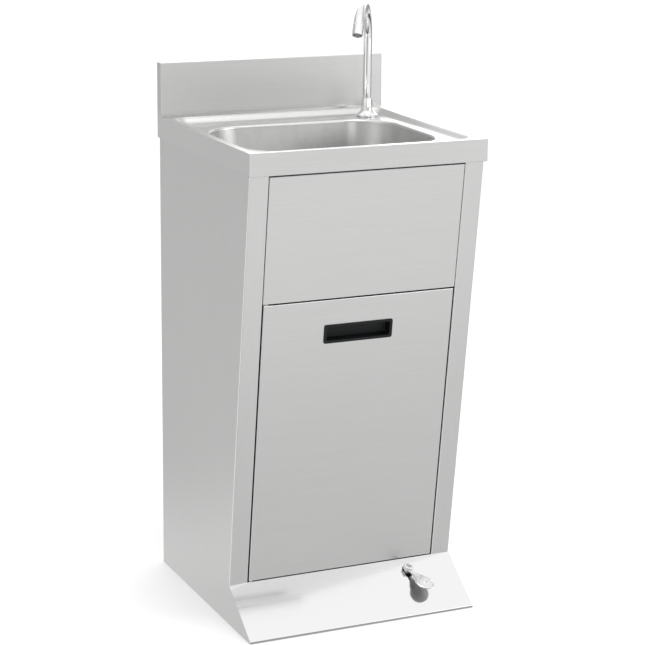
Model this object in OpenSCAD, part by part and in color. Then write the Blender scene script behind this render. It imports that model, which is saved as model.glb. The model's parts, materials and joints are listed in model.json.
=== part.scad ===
// Portable foot-pump handwash sink: a stainless sheet cabinet with a leaning door, a pressed
// basin in a splashback worktop, a swan-neck spout, and two water cans with their hoses.
// Origin on the floor under the middle of the worktop, +X to the user's right, -Y towards
// the user, +Z up, all in millimetres.

/* [Worktop] */
// Width of the worktop and of the whole sink
worktop_w = 450; // [440:1:470]
// Depth of the worktop, splashback included
worktop_d = 450; // [445:1:465]
// Height of the worktop rim above the floor
worktop_h = 875; // [860:1:900]
// Height of the worktop's folded edge
apron_h = 40; // [34:1:50]
// Height of the splashback above the worktop rim
splash_h = 100; // [60:1:140]
// Thickness of the hollow splashback
splash_t = 20; // [16:1:22]
// Flat width of the raised rim
rim_w = 13; // [10:1:15]
// Run of the slope from the rim down to the deck
rim_slope = 16; // [12:1:18]
// Depth of the deck below the rim
deck_drop = 11; // [8:1:13]
// Thickness of the stainless sheet
sheet = 1.2; // [1:0.1:1.5]

/* [Basin] */
// Width of the basin opening
basin_w = 366; // [340:1:370]
// Front-to-back size of the basin opening
basin_d = 285; // [260:1:288]
// Corner radius of the basin opening
basin_r = 75; // [60:1:80]
// Depth of the basin below the deck
basin_depth = 155; // [130:1:170]
// How much the basin narrows from opening to floor, each side
basin_taper = 14; // [8:1:18]

/* [Cabinet] */
// How far each cabinet side sits inside the worktop edge
side_inset = 3; // [2:0.5:4]
// How far the cabinet front sits behind the worktop edge, at the top
front_inset = 8; // [6:0.5:10]
// Depth of the toe space from the worktop edge to the sill
knee_in = 102; // [98:1:106]
// Height of the sill above the floor
knee_z = 75; // [73:0.5:78]
// Width of the front stiles
stile_w = 36; // [34:1:38]
// Height of the door along the leaning front
door_h = 528.5; // [520:0.5:532]
// Thickness of the door
door_t = 18; // [16:1:20]
// Gap beside the door
door_gap = 2.5; // [2.3:0.1:3]

/* [Pedal] */
// Distance of the pedal stem to the right of the middle
pedal_x = 125; // [120:1:130]
// Angle by which the pedal points outwards
pedal_yaw = 18; // [14:1:20]
// Slope of the pedal arm at rest
pedal_pitch = 20; // [17:1:22]
// Length of the pedal arm from the stem to the middle of the pad
pedal_reach = 47; // [44:1:49]
// Diameter of the pedal pad
pad_d = 38; // [34:1:40]

/* [Spout] */
// Radius of the spout's bend
bend_r = 70; // [60:1:80]
// Diameter of the spout tube
spout_d = 16; // [15:0.5:17]
// Height of the straight riser above the deck
riser_h = 146; // [130:1:160]
// Angle by which the spout is turned towards the basin
spout_yaw = -33.5; // [-40:0.5:-28]
// Angle through which the spout bends
bend_angle = 146; // [140:1:150]
// Length of the outlet sleeve
sleeve_h = 22; // [20:1:25]

/* [Water cans] */
// Width of each can
can_w = 176; // [170:1:180]
// Front-to-back size of each can
can_d = 220; // [212:1:224]
// Height of each can's body
can_h = 290; // [270:1:300]

/* [Hidden] */
$fn = 64;

// Shared heights and edges
eps = 0.1;
half_w = worktop_w / 2;
front_y = -worktop_d / 2;
rear_y = worktop_d / 2;
cabinet_top = worktop_h - apron_h;
deck_z = worktop_h - deck_drop;
side_x = half_w - side_inset;
cabinet_rear = rear_y - 3;
toe_y = front_y + 1;
toe_lip = 4;
return_w = 18;
flange_w = 20;
flange_y = front_y + 35;
apron_return = 12;

// Leaning front: its own frame has X across, Y into the cabinet and Z up the slope
knee_y = front_y + knee_in;
front_run = knee_in - front_inset;
front_rise = cabinet_top - knee_z;
front_lean = atan(front_run / front_rise);
front_len = norm([front_run, front_rise]);
opening_x = side_x - stile_w;
door_x = opening_x - door_gap;
door_v = 3;
door_top = door_v + door_h;
door_sheet = 1;
split_gap = 2.5;
panel_x = opening_x - 1;
panel_v = door_top + split_gap;
panel_top = front_len - 4;
toe_slope = atan((knee_z - toe_lip) / (knee_y - toe_y));
toe_len = norm([knee_z - toe_lip, knee_y - toe_y]);
sill_d = 26;
screw_rows = [-150, 0, 150];
screw_x = half_w - 8;
back_screw_x = side_x - 10;
back_screw_z = [60, 310, 560, 800];

// Rail behind the foot of the upper panel: it holds the top pivot and the catch
rail_v = panel_v + sheet + 0.4;
rail_t = 1.5;
rail_d = 36;
rail_h = 24;

// Door pivots, close to the front left edge so that the corner clears the stile
pivot_in = 5;
pivot_x = pivot_in - door_x;
pivot_pin_d = 4;
bush_d = 7;
bush_len = 7;
fit_play = 0.05;

// Handle recess and catch
handle_w = 133;
handle_h = 35;
handle_v = 468;
handle_lip = 1.5;
pocket_w = 124;
pocket_h = 27.6;
pocket_d = 15.5;
pocket_wall = 1.7;
catch_x = 120;
catch_w = 46;
catch_h = 18;
catch_y = [19.5, 33.5];
catch_screw_x = [catch_x + 8, catch_x + catch_w - 8];
catch_screw_y = 27;

// Deck and basin
splash_y = rear_y - splash_t;
pan_front = front_y + rim_w;
pan_rear = splash_y - 11;
pan_d = pan_rear - pan_front;
pan_y = (pan_front + pan_rear) / 2;
pan_w = worktop_w - 2 * rim_w;
pan_r = 28;
basin_y = front_y + 65 + basin_d / 2;
basin_fillet = 34;
basin_flange = 10;
drain_z = deck_z - basin_depth;
drain_fall = 5;
drain_hole_d = 50;

// Waste fitting
throat_d = 48;
throat_len = 19;
grid_t = 2.5;
spigot_d = 32;
body_top = drain_z - sheet - 3;

// Spout
tap_x = 170;
tap_y = rear_y - 72;
tap_hole_d = 22;
shank_d = 20;
shank_len = 55;
barb_d = 8;
seal_t = 1.5;
bell_r = 20.5;
bell_top = 16;
collar_top = 34.5;
sleeve_d = 20;
tube_bore = 13;

// Pedal mechanism, laid out from the pivot of the pedal stem
pedal_y = knee_y - 25;
hub_z = 66;
stem_drop = 22;
crank_y = stem_drop * sin(pedal_pitch);
pivot_z = hub_z - stem_drop * cos(pedal_pitch);
rod_z = 25;
stem_d = 12;
pivot_d = 6;
ear_x = 9;
ear_t = 2.5;
base_t = 2;
base_half = 32;
bracket_y = [-16, 94];
tower_y = [17, 31];
seat_z = 62;
lug_z = [47, 51];
spring_y = 24;
spring_d = 10;
foot_screw_x = 26.5;
foot_screw_y = [-10, 88];
eye_half = 7;
fork_half = 7.6;
seat_w = -6;
slot_y = [-9, -3];

// Pump
barrel_y = [34, 76];
barrel_d = 42;
barrel_bore = 34;
head_t = 14;
port_x = 11;
port_y = barrel_y[1] + head_t / 2;
port_top = 62;
piston_y = 48;
piston_t = 12;
rod_d = 8;
rod_pin_d = 5;
strap_y = [42, 66];
strap_w = 8;
strap_t = 1.5;

// Cans
can_inner_x = 22;
can_front = -36;
can_y = can_front + can_d / 2;
can_x = can_inner_x + can_w / 2;
can_wall = 2.5;
can_r = 22;
can_floor = sheet;
can_top = can_floor + can_h;
neck_d = 52;
neck_bore = 46;
neck_h = 28;
neck_y = can_front + 45;
cap_d = 64;
cap_z = [can_top + 8, can_top + 33];
grip_y = [can_front + 92, can_front + 190];
grip_z = can_top + 38;
grip_d = 22;

// Hoses, as hand-placed points on the centre line
waste_hose_d = 36;
waste_route = [[0, -17.5, 660], [0, -17.5, 625], [-10, -16, 580], [-36, -10, 520],
    [-74, 0, 460], [-100, 7, 400], [-110, 9, 350], [-110, 9, 270]];
water_hose_d = 12;
suction_route = [[110, 9, 332], [110, 9, 357], [110, -5, 392], [110, -40, 406],
    [110, -75, 392], [109, -89, 357], [108, -92, 290], [108, -84, 190], [107.5, -66, 110],
    [107.5, -58.5, 72], [107.5, -58.5, 50]];
pressure_route = [[86.6, -65.3, 50], [86.6, -65.3, 76], [72, -63, 110], [38, -50, 134],
    [10, -14, 142], [0, 50, 145], [0, 110, 148], [0, 157, 155], [14, 191, 168],
    [50, 204, 196], [100, 205, 255], [143, 205, 330], [166, 205, 430], [170, 205, 540],
    [170, 205, 640], [170, 201, 672], [170, 179, 712], [170, 157, 752], [170, 153, 785],
    [170, 153, 808]];
hose_sides = 10;
waste_sides = 12;
hose_steps = 5;
saddle_z = [540, 620];
hose_wall_y = 205;

// ---------- Frames ----------

module front_frame() {
    translate([0, knee_y, knee_z]) rotate([front_lean, 0, 0]) children();
}

module toe_frame() {
    translate([0, toe_y, toe_lip]) rotate([toe_slope, 0, 0]) children();
}

module pedal_frame() {
    translate([pedal_x, pedal_y, 0]) rotate([0, 0, pedal_yaw]) children();
}

// Pump and crank parts, with Y = 0 at the pedal pivot
module crank_frame() {
    pedal_frame() translate([0, crank_y, 0]) children();
}

// Pedal arm, with Z along the stem and -Y along the arm
module lever_frame() {
    pedal_frame() translate([0, 0, hub_z]) rotate([pedal_pitch, 0, 0]) children();
}

module tap_frame() {
    translate([tap_x, tap_y, deck_z]) rotate([0, 0, spout_yaw]) children();
}

// Mouth of the spout, with Z along the flow
module mouth_shape() {
    translate([0, bend_r * (cos(bend_angle) - 1), riser_h + bend_r * sin(bend_angle)])
        rotate([bend_angle, 0, 0]) children();
}

module mouth_frame() {
    tap_frame() mouth_shape() children();
}

// ---------- Shared shapes ----------

module round_rect(w, d, r) {
    square([w - 2 * r, d], center = true);
    square([w, d - 2 * r], center = true);
    for (sx = [-1, 1], sy = [-1, 1])
        translate([sx * (w / 2 - r), sy * (d / 2 - r)]) circle(r);
}

module tube(outer_d, inner_d, h) {
    difference() {
        cylinder(d = outer_d, h = h);
        translate([0, 0, -eps]) cylinder(d = inner_d, h = h + 2 * eps);
    }
}

// A box given by its lowest and highest corners
module span(low, high) {
    translate(low) cube(high - low);
}

// A pan-head screw under its head's seat: the shank points down, the head stands up
module pan_screw(shank_d, shank_l, head_d, head_h) {
    translate([0, 0, -shank_l]) cylinder(d = shank_d, h = shank_l + eps);
    difference() {
        cylinder(d1 = head_d, d2 = head_d - head_h, h = head_h);
        for (a = [0, 90]) rotate([0, 0, a])
            span([-head_d / 4, -0.5, head_h - 1], [head_d / 4, 0.5, head_h + eps]);
    }
}

// Smooth route through hand-placed points
function unit(v) = v / norm(v);
function route_point(p, i, t) = let (
        last = len(p) - 1,
        a = p[max(i - 1, 0)], b = p[i], c = p[i + 1], d = p[min(i + 2, last)]
    ) 0.5 * (2 * b + (c - a) * t + (2 * a - 5 * b + 4 * c - d) * t * t
        + (3 * b - a - 3 * c + d) * t * t * t);
function smooth(p, steps) = [
    for (i = [0:len(p) - 2], s = [0:steps - 1]) route_point(p, i, s / steps),
    p[len(p) - 1]
];
function heading(q, i) = unit(q[min(i + 1, len(q) - 1)] - q[max(i - 1, 0)]);
// The side vector of each ring, carried along so that the tube doesn't twist
function carry(q, i, sides) = i == len(q) ? sides : let (
        t = heading(q, i), s = sides[i - 1]
    ) carry(q, i + 1, concat(sides, [unit(s - (s * t) * t)]));

module hose(route, d, sides, steps) {
    q = smooth(route, steps);
    rings = len(q);
    side = carry(q, 1, [unit(cross(heading(q, 0), [0.3, 1, 0.2]))]);
    points = [
        for (i = [0:rings - 1]) let (u = side[i], v = cross(heading(q, i), u))
            for (k = [0:sides - 1]) let (a = 360 * k / sides)
                q[i] + d / 2 * (cos(a) * u + sin(a) * v)
    ];
    walls = [
        for (i = [0:rings - 2], k = [0:sides - 1]) let (n = (k + 1) % sides)
            [i * sides + k, (i + 1) * sides + k, (i + 1) * sides + n, i * sides + n]
    ];
    foot = [for (k = [0:sides - 1]) k];
    top = [for (k = [sides - 1:-1:0]) (rings - 1) * sides + k];
    polyhedron(points, concat([foot], walls, [top]), convexity = 6);
}

// ---------- Worktop and basin ----------

module pan_block(grow, high, low) {
    hull() {
        translate([0, pan_y, high]) linear_extrude(eps)
            round_rect(pan_w + 2 * grow, pan_d + 2 * grow, pan_r + grow);
        translate([0, pan_y, low]) linear_extrude(eps)
            round_rect(pan_w - 2 * rim_slope + 2 * grow, pan_d - 2 * rim_slope + 2 * grow,
                pan_r - 10 + grow);
    }
}

module worktop() {
    inner_x = half_w - sheet;
    color("gainsboro") difference() {
        union() {
            difference() {
                union() {
                    span([-half_w, front_y, cabinet_top], [half_w, rear_y, worktop_h]);
                    span([-half_w, splash_y, worktop_h - 1], [half_w, rear_y, worktop_h + splash_h]);
                }
                span([-inner_x, front_y + sheet, cabinet_top + sheet],
                    [inner_x, rear_y - sheet, worktop_h - sheet]);
                span([-half_w + apron_return, front_y + apron_return, cabinet_top - eps],
                    [half_w - apron_return, rear_y - apron_return, worktop_h - sheet]);
                span([-inner_x, splash_y + sheet, worktop_h - 2 * sheet],
                    [inner_x, rear_y - sheet, worktop_h + splash_h - sheet]);
                pan_block(0, worktop_h, deck_z);
            }
            difference() {
                pan_block(sheet, worktop_h - eps, deck_z - sheet);
                pan_block(0, worktop_h, deck_z);
            }
        }
        translate([0, basin_y, deck_z - 5]) linear_extrude(10)
            round_rect(basin_w, basin_d, basin_r);
        translate([tap_x, tap_y, deck_z - 5]) cylinder(d = tap_hole_d, h = 10);
        for (s = [-1, 1], y = screw_rows)
            translate([s * screw_x, y, cabinet_top - 1]) cylinder(d = 4.1, h = 4);
    }
}

// Inside or outside of the pressed basin, rounded where the wall meets the floor
module basin_block(grow) {
    $fn = 32;
    bottom = drain_z + drain_fall - grow;
    hull() {
        translate([0, basin_y, deck_z - sheet - eps]) linear_extrude(eps)
            round_rect(basin_w + 2 * grow, basin_d + 2 * grow, basin_r + grow);
        for (a = [0:15:90]) let (in = basin_taper + basin_fillet * (1 - cos(a)) - grow)
            translate([0, basin_y, bottom + basin_fillet * (1 - sin(a))]) linear_extrude(eps)
                round_rect(basin_w - 2 * in, basin_d - 2 * in, basin_r - in);
        translate([0, basin_y, drain_z - grow]) cylinder(d = drain_hole_d + 30, h = eps);
    }
}

module basin() {
    color("silver") difference() {
        union() {
            basin_block(sheet);
            translate([0, basin_y, deck_z - 2 * sheet]) linear_extrude(sheet)
                round_rect(basin_w + 2 * basin_flange, basin_d + 2 * basin_flange,
                    basin_r + basin_flange);
        }
        basin_block(0);
        translate([0, basin_y, deck_z - 2 * sheet - eps]) linear_extrude(2 * sheet)
            round_rect(basin_w, basin_d, basin_r);
        translate([0, basin_y, drain_z - 10]) cylinder(d = drain_hole_d, h = 20);
    }
}

// ---------- Cabinet ----------

// Side sheet, leaning front stile with its return, and three flanges, trimmed to the outline
module left_shell() {
    over = 1;
    deep_w = flange_w + 2;
    difference() {
        intersection() {
            union() {
                translate([-side_x - over, 0, 0]) rotate([90, 0, 90])
                    linear_extrude(sheet + over) polygon([
                        [cabinet_rear + over, sheet - over],
                        [toe_y + 1.4, sheet - over],
                        [toe_y + 1.4, toe_lip - 0.6],
                        [knee_y + 0.9, knee_z - 1.6],
                        [front_y + front_inset + 0.6, cabinet_top + over],
                        [cabinet_rear + over, cabinet_top + over]
                    ]);
                front_frame() linear_extrude(front_len + 2) polygon([
                    [-side_x - over, 0],
                    [-opening_x, 0],
                    [-opening_x, return_w],
                    [-opening_x - sheet, return_w],
                    [-opening_x - sheet, sheet],
                    [-side_x - over, sheet]
                ]);
                span([-side_x - over, flange_y, cabinet_top - sheet],
                    [deep_w - side_x, cabinet_rear + over, cabinet_top + over]);
                span([-side_x - over, cabinet_rear - sheet, sheet - over],
                    [flange_w - side_x, cabinet_rear + over, cabinet_top + over]);
                span([-side_x - over, flange_y, sheet - over],
                    [deep_w - side_x, cabinet_rear + over, 2 * sheet]);
            }
            span([-side_x, front_y, sheet], [0, cabinet_rear, cabinet_top]);
        }
        for (y = screw_rows)
            translate([-screw_x, y, cabinet_top - 3]) cylinder(d = 4.1, h = 4);
        for (z = back_screw_z) back_screw_hole(-back_screw_x, z);
    }
}

module back_screw_hole(x, z) {
    translate([x, cabinet_rear + 1, z]) rotate([90, 0, 0]) cylinder(d = 4.1, h = 5);
}

module left_side_panel() {
    color("gainsboro") left_shell();
}

module right_side_panel() {
    color("gainsboro") mirror([1, 0, 0]) left_shell();
}

module back_panel() {
    x = side_x - sheet - 1;
    outer = cabinet_rear - sheet;
    low = 3 * sheet;
    high = cabinet_top - 2 * sheet;
    color("lightgray") difference() {
        union() {
            span([-x, outer - sheet, low], [x, outer, high]);
            span([-x, outer - 15, low], [x, outer, low + sheet]);
            span([-x, outer - 15, high - sheet], [x, outer, high]);
        }
        for (s = [-1, 1], z = back_screw_z) back_screw_hole(s * back_screw_x, z);
    }
}

module base_plate() {
    color("lightgray") difference() {
        span([-side_x, toe_y, 0], [side_x, cabinet_rear, sheet]);
        crank_frame() for (s = [-1, 1], y = foot_screw_y)
            translate([s * foot_screw_x, y, -1]) cylinder(d = 5.1, h = 4);
    }
}

// Inner corner of a folded sheet, from the outer corner and the two directions that meet there
function inner_corner(p, a, b) =
    p + sheet / cos((a - b) / 2) * [sin((a + b) / 2), -cos((a + b) / 2)];

module toe_plate() {
    sill_end = [knee_y + sill_d * cos(front_lean), knee_z + sill_d * sin(front_lean)];
    color("whitesmoke") difference() {
        translate([-side_x, 0, 0]) rotate([90, 0, 90]) linear_extrude(2 * side_x) polygon([
            [toe_y, sheet],
            [toe_y, toe_lip],
            [knee_y, knee_z],
            sill_end,
            inner_corner(sill_end, front_lean, front_lean),
            inner_corner([knee_y, knee_z], toe_slope, front_lean),
            inner_corner([toe_y, toe_lip], 90, toe_slope),
            [toe_y + sheet, sheet]
        ]);
        toe_frame() for (s = [-1, 1]) scale([s, 1, 1])
            span([side_x - 2 * sheet, toe_len, -20], [side_x + 1, toe_len + 2 * sill_d, 20]);
        front_frame() translate([pivot_x, pivot_in, -5]) cylinder(d = pivot_pin_d, h = 10);
        crank_frame() translate([0, 0, pivot_z]) {
            span([-stem_d / 2 - 1.5, slot_y[0], 0], [stem_d / 2 + 1.5, slot_y[1], 30]);
            for (y = slot_y) translate([0, y, 0]) cylinder(r = stem_d / 2 + 1.5, h = 30);
        }
    }
}

module upper_front_panel() {
    color("gainsboro") front_frame() difference() {
        union() {
            span([-panel_x, 0, panel_v], [panel_x, sheet, panel_top]);
            span([-panel_x, 0, panel_v], [panel_x, return_w, panel_v + sheet]);
            span([-panel_x, 0, panel_top - sheet], [panel_x, return_w, panel_top]);
            for (s = [-1, 1]) scale([s, 1, 1])
                span([panel_x - sheet, 0, panel_v], [panel_x, return_w, panel_top]);
        }
        translate([pivot_x, pivot_in, panel_v - 1]) cylinder(d = pivot_pin_d + 0.4, h = 5);
    }
}

module cross_rail() {
    inner_x = panel_x - 1.6;
    wall_x = side_x - sheet - 0.2;
    color("lightgray") front_frame() difference() {
        union() {
            span([-inner_x, 2, rail_v], [inner_x, rail_d, rail_v + rail_t]);
            span([-wall_x, return_w + 1.5, rail_v], [wall_x, rail_d, rail_v + rail_t]);
            span([-wall_x, rail_d - rail_t, rail_v], [wall_x, rail_d, rail_v + rail_h]);
        }
        translate([pivot_x, pivot_in, rail_v - 1]) cylinder(d = pivot_pin_d, h = 5);
        for (x = catch_screw_x) translate([x, catch_screw_y, rail_v - 1]) cylinder(d = 3.6, h = 5);
    }
}

// ---------- Door ----------

module door_skin() {
    color("gainsboro") front_frame() difference() {
        union() {
            span([-door_x, 0, door_v], [door_x, door_sheet, door_top]);
            span([-door_x, 0, door_v], [door_x, door_t, door_v + door_sheet]);
            span([-door_x, 0, door_top - door_sheet], [door_x, door_t, door_top]);
            for (s = [-1, 1]) scale([s, 1, 1])
                span([door_x - door_sheet, 0, door_v], [door_x, door_t, door_top]);
        }
        translate([0, door_sheet, handle_v]) rotate([90, 0, 0]) translate([0, 0, -1])
            linear_extrude(4) round_rect(pocket_w + 0.6, pocket_h + 0.6, 3);
        for (v = [door_v - 1, door_top - 3])
            translate([pivot_x, pivot_in, v]) cylinder(d = bush_d, h = 4);
    }
}

module door_liner() {
    inner_x = door_x - door_sheet;
    color("lightgray") front_frame()
        span([-inner_x, door_t - door_sheet, door_v + door_sheet],
            [inner_x, door_t, door_top - door_sheet]);
}

module door_handle() {
    color([0.06, 0.065, 0.065]) front_frame() translate([0, 0, handle_v]) rotate([90, 0, 0])
        difference() {
            union() {
                linear_extrude(handle_lip) round_rect(handle_w, handle_h, 4);
                translate([0, 0, -pocket_d]) linear_extrude(pocket_d + eps)
                    round_rect(pocket_w, pocket_h, 2.8);
            }
            translate([0, 0, -pocket_d + pocket_wall]) linear_extrude(pocket_d + 5)
                round_rect(pocket_w - 2 * pocket_wall, pocket_h - 2 * pocket_wall, 1.5);
        }
}

module pivot_bush() {
    difference() {
        union() {
            translate([0, 0, -bush_len]) cylinder(d = bush_d, h = bush_len);
            cylinder(d = bush_d + 2.6, h = 0.8);
        }
        translate([0, 0, -bush_len - eps]) cylinder(d = pivot_pin_d + 2 * fit_play, h = bush_len + 2);
    }
}

module door_bushes() {
    color("ivory") front_frame() {
        translate([pivot_x, pivot_in, door_top]) pivot_bush();
        translate([pivot_x, pivot_in, door_v]) mirror([0, 0, 1]) pivot_bush();
    }
}

module door_pivot_pins() {
    top_head = rail_v + rail_t;
    top_foot = door_top - bush_len + 1;
    color("darkgray") front_frame() translate([pivot_x, pivot_in, 0]) {
        translate([0, 0, top_foot]) cylinder(d = pivot_pin_d, h = top_head - top_foot + 1);
        translate([0, 0, top_head]) cylinder(d = 7, h = 2);
        translate([0, 0, -sheet - 1]) cylinder(d = pivot_pin_d, h = door_v + bush_len + sheet);
        translate([0, 0, -sheet - 2]) cylinder(d = 8, h = 2);
        cylinder(d = bush_d, h = door_v - 0.8 - 2 * fit_play);
    }
}

module magnet_catch() {
    color("dimgray") front_frame() difference() {
        span([catch_x, catch_y[0], rail_v - catch_h], [catch_x + catch_w, catch_y[1], rail_v]);
        for (x = catch_screw_x)
            translate([x, catch_screw_y, rail_v - 12]) cylinder(d = 3, h = 13);
        // the two pole plates stand in a shallow slot across the face
        span([catch_x + 6, catch_y[0] - 1, rail_v - catch_h + 7],
            [catch_x + catch_w - 6, catch_y[0] + 0.6, rail_v - catch_h + 11]);
    }
}

module catch_striker() {
    color("silver") front_frame()
        span([catch_x + 3, door_t, rail_v - catch_h],
            [catch_x + catch_w - 3, door_t + 1.1, door_top - 3]);
}

module catch_screws() {
    color("silver") front_frame() for (x = catch_screw_x)
        translate([x, catch_screw_y, rail_v + rail_t]) pan_screw(3, 12, 6.5, 2);
}

module worktop_screws() {
    color("silver") for (s = [-1, 1], y = screw_rows)
        translate([s * screw_x, y, cabinet_top - sheet]) rotate([180, 0, 0]) pan_screw(4, 7, 8, 2.2);
}

module back_panel_screws() {
    color("silver") for (s = [-1, 1], z = back_screw_z)
        translate([s * back_screw_x, cabinet_rear, z]) rotate([-90, 0, 0]) pan_screw(4, 7, 8, 2.2);
}

// ---------- Waste ----------

module waste_flange() {
    color("silver") translate([0, basin_y, drain_z]) difference() {
        union() {
            cylinder(d1 = 78, d2 = 74, h = grid_t);
            translate([0, 0, -throat_len]) cylinder(d = throat_d, h = throat_len + eps);
        }
        translate([0, 0, -throat_len - 1]) cylinder(d = throat_d - 5, h = throat_len + 1);
        for (a = [0:45:315]) rotate([0, 0, a]) translate([14, 0, -1]) cylinder(d = 7, h = 5);
        translate([0, 0, -1]) cylinder(d = 6.4, h = 5);
    }
}

module waste_gasket() {
    color("dimgray") translate([0, basin_y, body_top]) tube(72, throat_d + 1, 3);
}

module waste_body() {
    color("white") translate([0, basin_y, body_top]) difference() {
        union() {
            translate([0, 0, -24]) cylinder(d = 62, h = 24);
            translate([0, 0, -3]) cylinder(d = 72, h = 3);
            translate([0, 0, -40]) cylinder(d1 = spigot_d, d2 = 62, h = 16 + eps);
            translate([0, 0, -66]) cylinder(d = spigot_d, h = 26 + eps);
        }
        translate([0, 0, -24]) cylinder(d = throat_d + 0.4, h = 25);
        translate([0, 0, -38]) cylinder(d1 = spigot_d - 5, d2 = throat_d, h = 14 + eps);
        translate([0, 0, -67]) cylinder(d = spigot_d - 5, h = 30);
    }
    // bridge with the boss that the waste screw pulls on
    color("white") translate([0, basin_y, body_top - 24]) difference() {
        union() {
            cylinder(d = 12, h = 12);
            span([-throat_d / 2 - 1, -2, 0], [throat_d / 2 + 1, 2, 8]);
        }
        translate([0, 0, -1]) cylinder(d = 6, h = 14);
    }
}

module waste_screw() {
    color("silver") translate([0, basin_y, drain_z + grid_t]) pan_screw(6, 24, 12, 3);
}

module waste_hose() {
    color("gray") hose(waste_route, waste_hose_d, waste_sides, hose_steps);
}

module hose_clip(d, h, band) {
    translate([0, 0, -h / 2]) {
        tube(d + 2 * band, d + 0.3, h);
        span([-4, -d / 2 - band - 5, 1], [4, -d / 2 - band + 0.6, h - 1]);
    }
}

module hose_clips() {
    color("silver") {
        translate([0, basin_y, 645]) hose_clip(waste_hose_d, 10, 1.2);
        for (s = [-1, 1]) crank_frame() translate([s * port_x, port_y, 56])
            hose_clip(water_hose_d, 6, 0.9);
        translate([can_x, neck_y, can_top + 47]) hose_clip(water_hose_d, 6, 0.9);
        translate([tap_x, tap_y, 799]) hose_clip(water_hose_d, 6, 0.9);
    }
}

// ---------- Water cans ----------

module can_block(inset) {
    r = can_r - inset;
    hull() for (sx = [-1, 1], sy = [-1, 1], z = [can_floor + can_r, can_top - can_r])
        translate([sx * (can_w / 2 - can_r), can_y + sy * (can_d / 2 - can_r), z])
            sphere(r, $fn = 24);
}

module can() {
    difference() {
        union() {
            can_block(0);
            translate([0, neck_y, can_top - 4]) cylinder(d = neck_d, h = neck_h + 4);
            for (y = grip_y)
                translate([0, y, can_top - 4]) cylinder(d = grip_d, h = 4 + grip_z - can_top);
            translate([0, grip_y[0], grip_z]) rotate([-90, 0, 0])
                cylinder(d = grip_d, h = grip_y[1] - grip_y[0]);
            for (y = grip_y) translate([0, y, grip_z]) sphere(d = grip_d);
        }
        can_block(can_wall);
        translate([0, neck_y, can_top - 10]) cylinder(d = neck_bore, h = neck_h + 20);
    }
}

module can_cap(hole_d) {
    h = cap_z[1] - cap_z[0];
    translate([0, neck_y, cap_z[0]]) difference() {
        cylinder(d = cap_d, h = h);
        translate([0, 0, -eps]) cylinder(d = neck_d + 0.6, h = h - 2.7 + eps);
        cylinder(d = hole_d, h = h + 1);
    }
}

module waste_can() {
    color([0.75, 0.8, 0.82]) translate([-can_x, 0, 0]) can();
}

module clean_can() {
    color([0.93, 0.94, 0.92]) translate([can_x, 0, 0]) can();
}

module waste_can_cap() {
    color("dimgray") translate([-can_x, 0, 0]) can_cap(waste_hose_d + 2);
}

module clean_can_cap() {
    color("steelblue") translate([can_x, 0, 0]) can_cap(14.4);
}

// Dip tube with the flange that the clean can's cap clamps, and the barb above it
module dip_tube() {
    foot = can_floor + 12;
    flange_z = can_top + neck_h;
    color("white") translate([can_x, neck_y, 0]) difference() {
        union() {
            translate([0, 0, foot]) cylinder(d = 10, h = flange_z - foot + eps);
            translate([0, 0, flange_z]) cylinder(d = neck_bore + 3, h = 2);
            translate([0, 0, flange_z]) cylinder(d = 14, h = 8);
            translate([0, 0, flange_z]) cylinder(d = barb_d, h = 30);
        }
        translate([0, 0, foot - 1]) cylinder(d = 5, h = flange_z + 32 - foot);
    }
}

module suction_hose() {
    color("lightcyan") hose(suction_route, water_hose_d, hose_sides, hose_steps);
}

module pressure_hose() {
    color("lightcyan") hose(pressure_route, water_hose_d, hose_sides, hose_steps);
}

// Clips that hold the pressure hose to the back panel
module hose_saddles() {
    wall_y = cabinet_rear - 2 * sheet;
    run = wall_y - hose_wall_y;
    color("dimgray") for (z = saddle_z) translate([tap_x, hose_wall_y, z]) {
        tube(water_hose_d + 4.4, water_hose_d + 1.4, 10);
        span([-3, water_hose_d / 2 + 1.2, 0], [3, run, 10]);
        span([-12, run - 2, 0], [12, run, 10]);
    }
}

// ---------- Pump and pedal ----------

module bracket_ear() {
    translate([0, pivot_z]) circle(7);
    translate([-7, sheet]) square([14, pivot_z - sheet]);
    translate([-7, sheet]) square([tower_y[1] + 7, 28]);
    translate([tower_y[0], sheet]) square([tower_y[1] - tower_y[0], seat_z + 2 - sheet]);
}

module pump_bracket() {
    color("silver") crank_frame() difference() {
        union() {
            span([-base_half, bracket_y[0], sheet], [base_half, bracket_y[1], sheet + base_t]);
            for (s = [-1, 1]) scale([s, 1, 1])
                translate([ear_x, 0, 0]) rotate([90, 0, 90]) linear_extrude(ear_t) bracket_ear();
            span([-ear_x - ear_t, tower_y[0], seat_z], [ear_x + ear_t, tower_y[1], seat_z + 2]);
            for (y = strap_y)
                span([-barrel_d / 2, y - 5, sheet], [barrel_d / 2, y - 1, rod_z]);
        }
        translate([0, 0, pivot_z]) rotate([0, 90, 0])
            cylinder(d = pivot_d, h = 60, center = true);
        translate([0, barrel_y[0] - 5, rod_z]) rotate([-90, 0, 0])
            cylinder(d = barrel_d + 0.2, h = 60);
        for (s = [-1, 1], y = foot_screw_y)
            translate([s * foot_screw_x, y, 0]) cylinder(d = 5.1, h = 6);
        for (s = [-1, 1], y = strap_y)
            translate([s * foot_screw_x, y + strap_w / 2, sheet + eps]) cylinder(d = 4, h = 6);
    }
}

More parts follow.
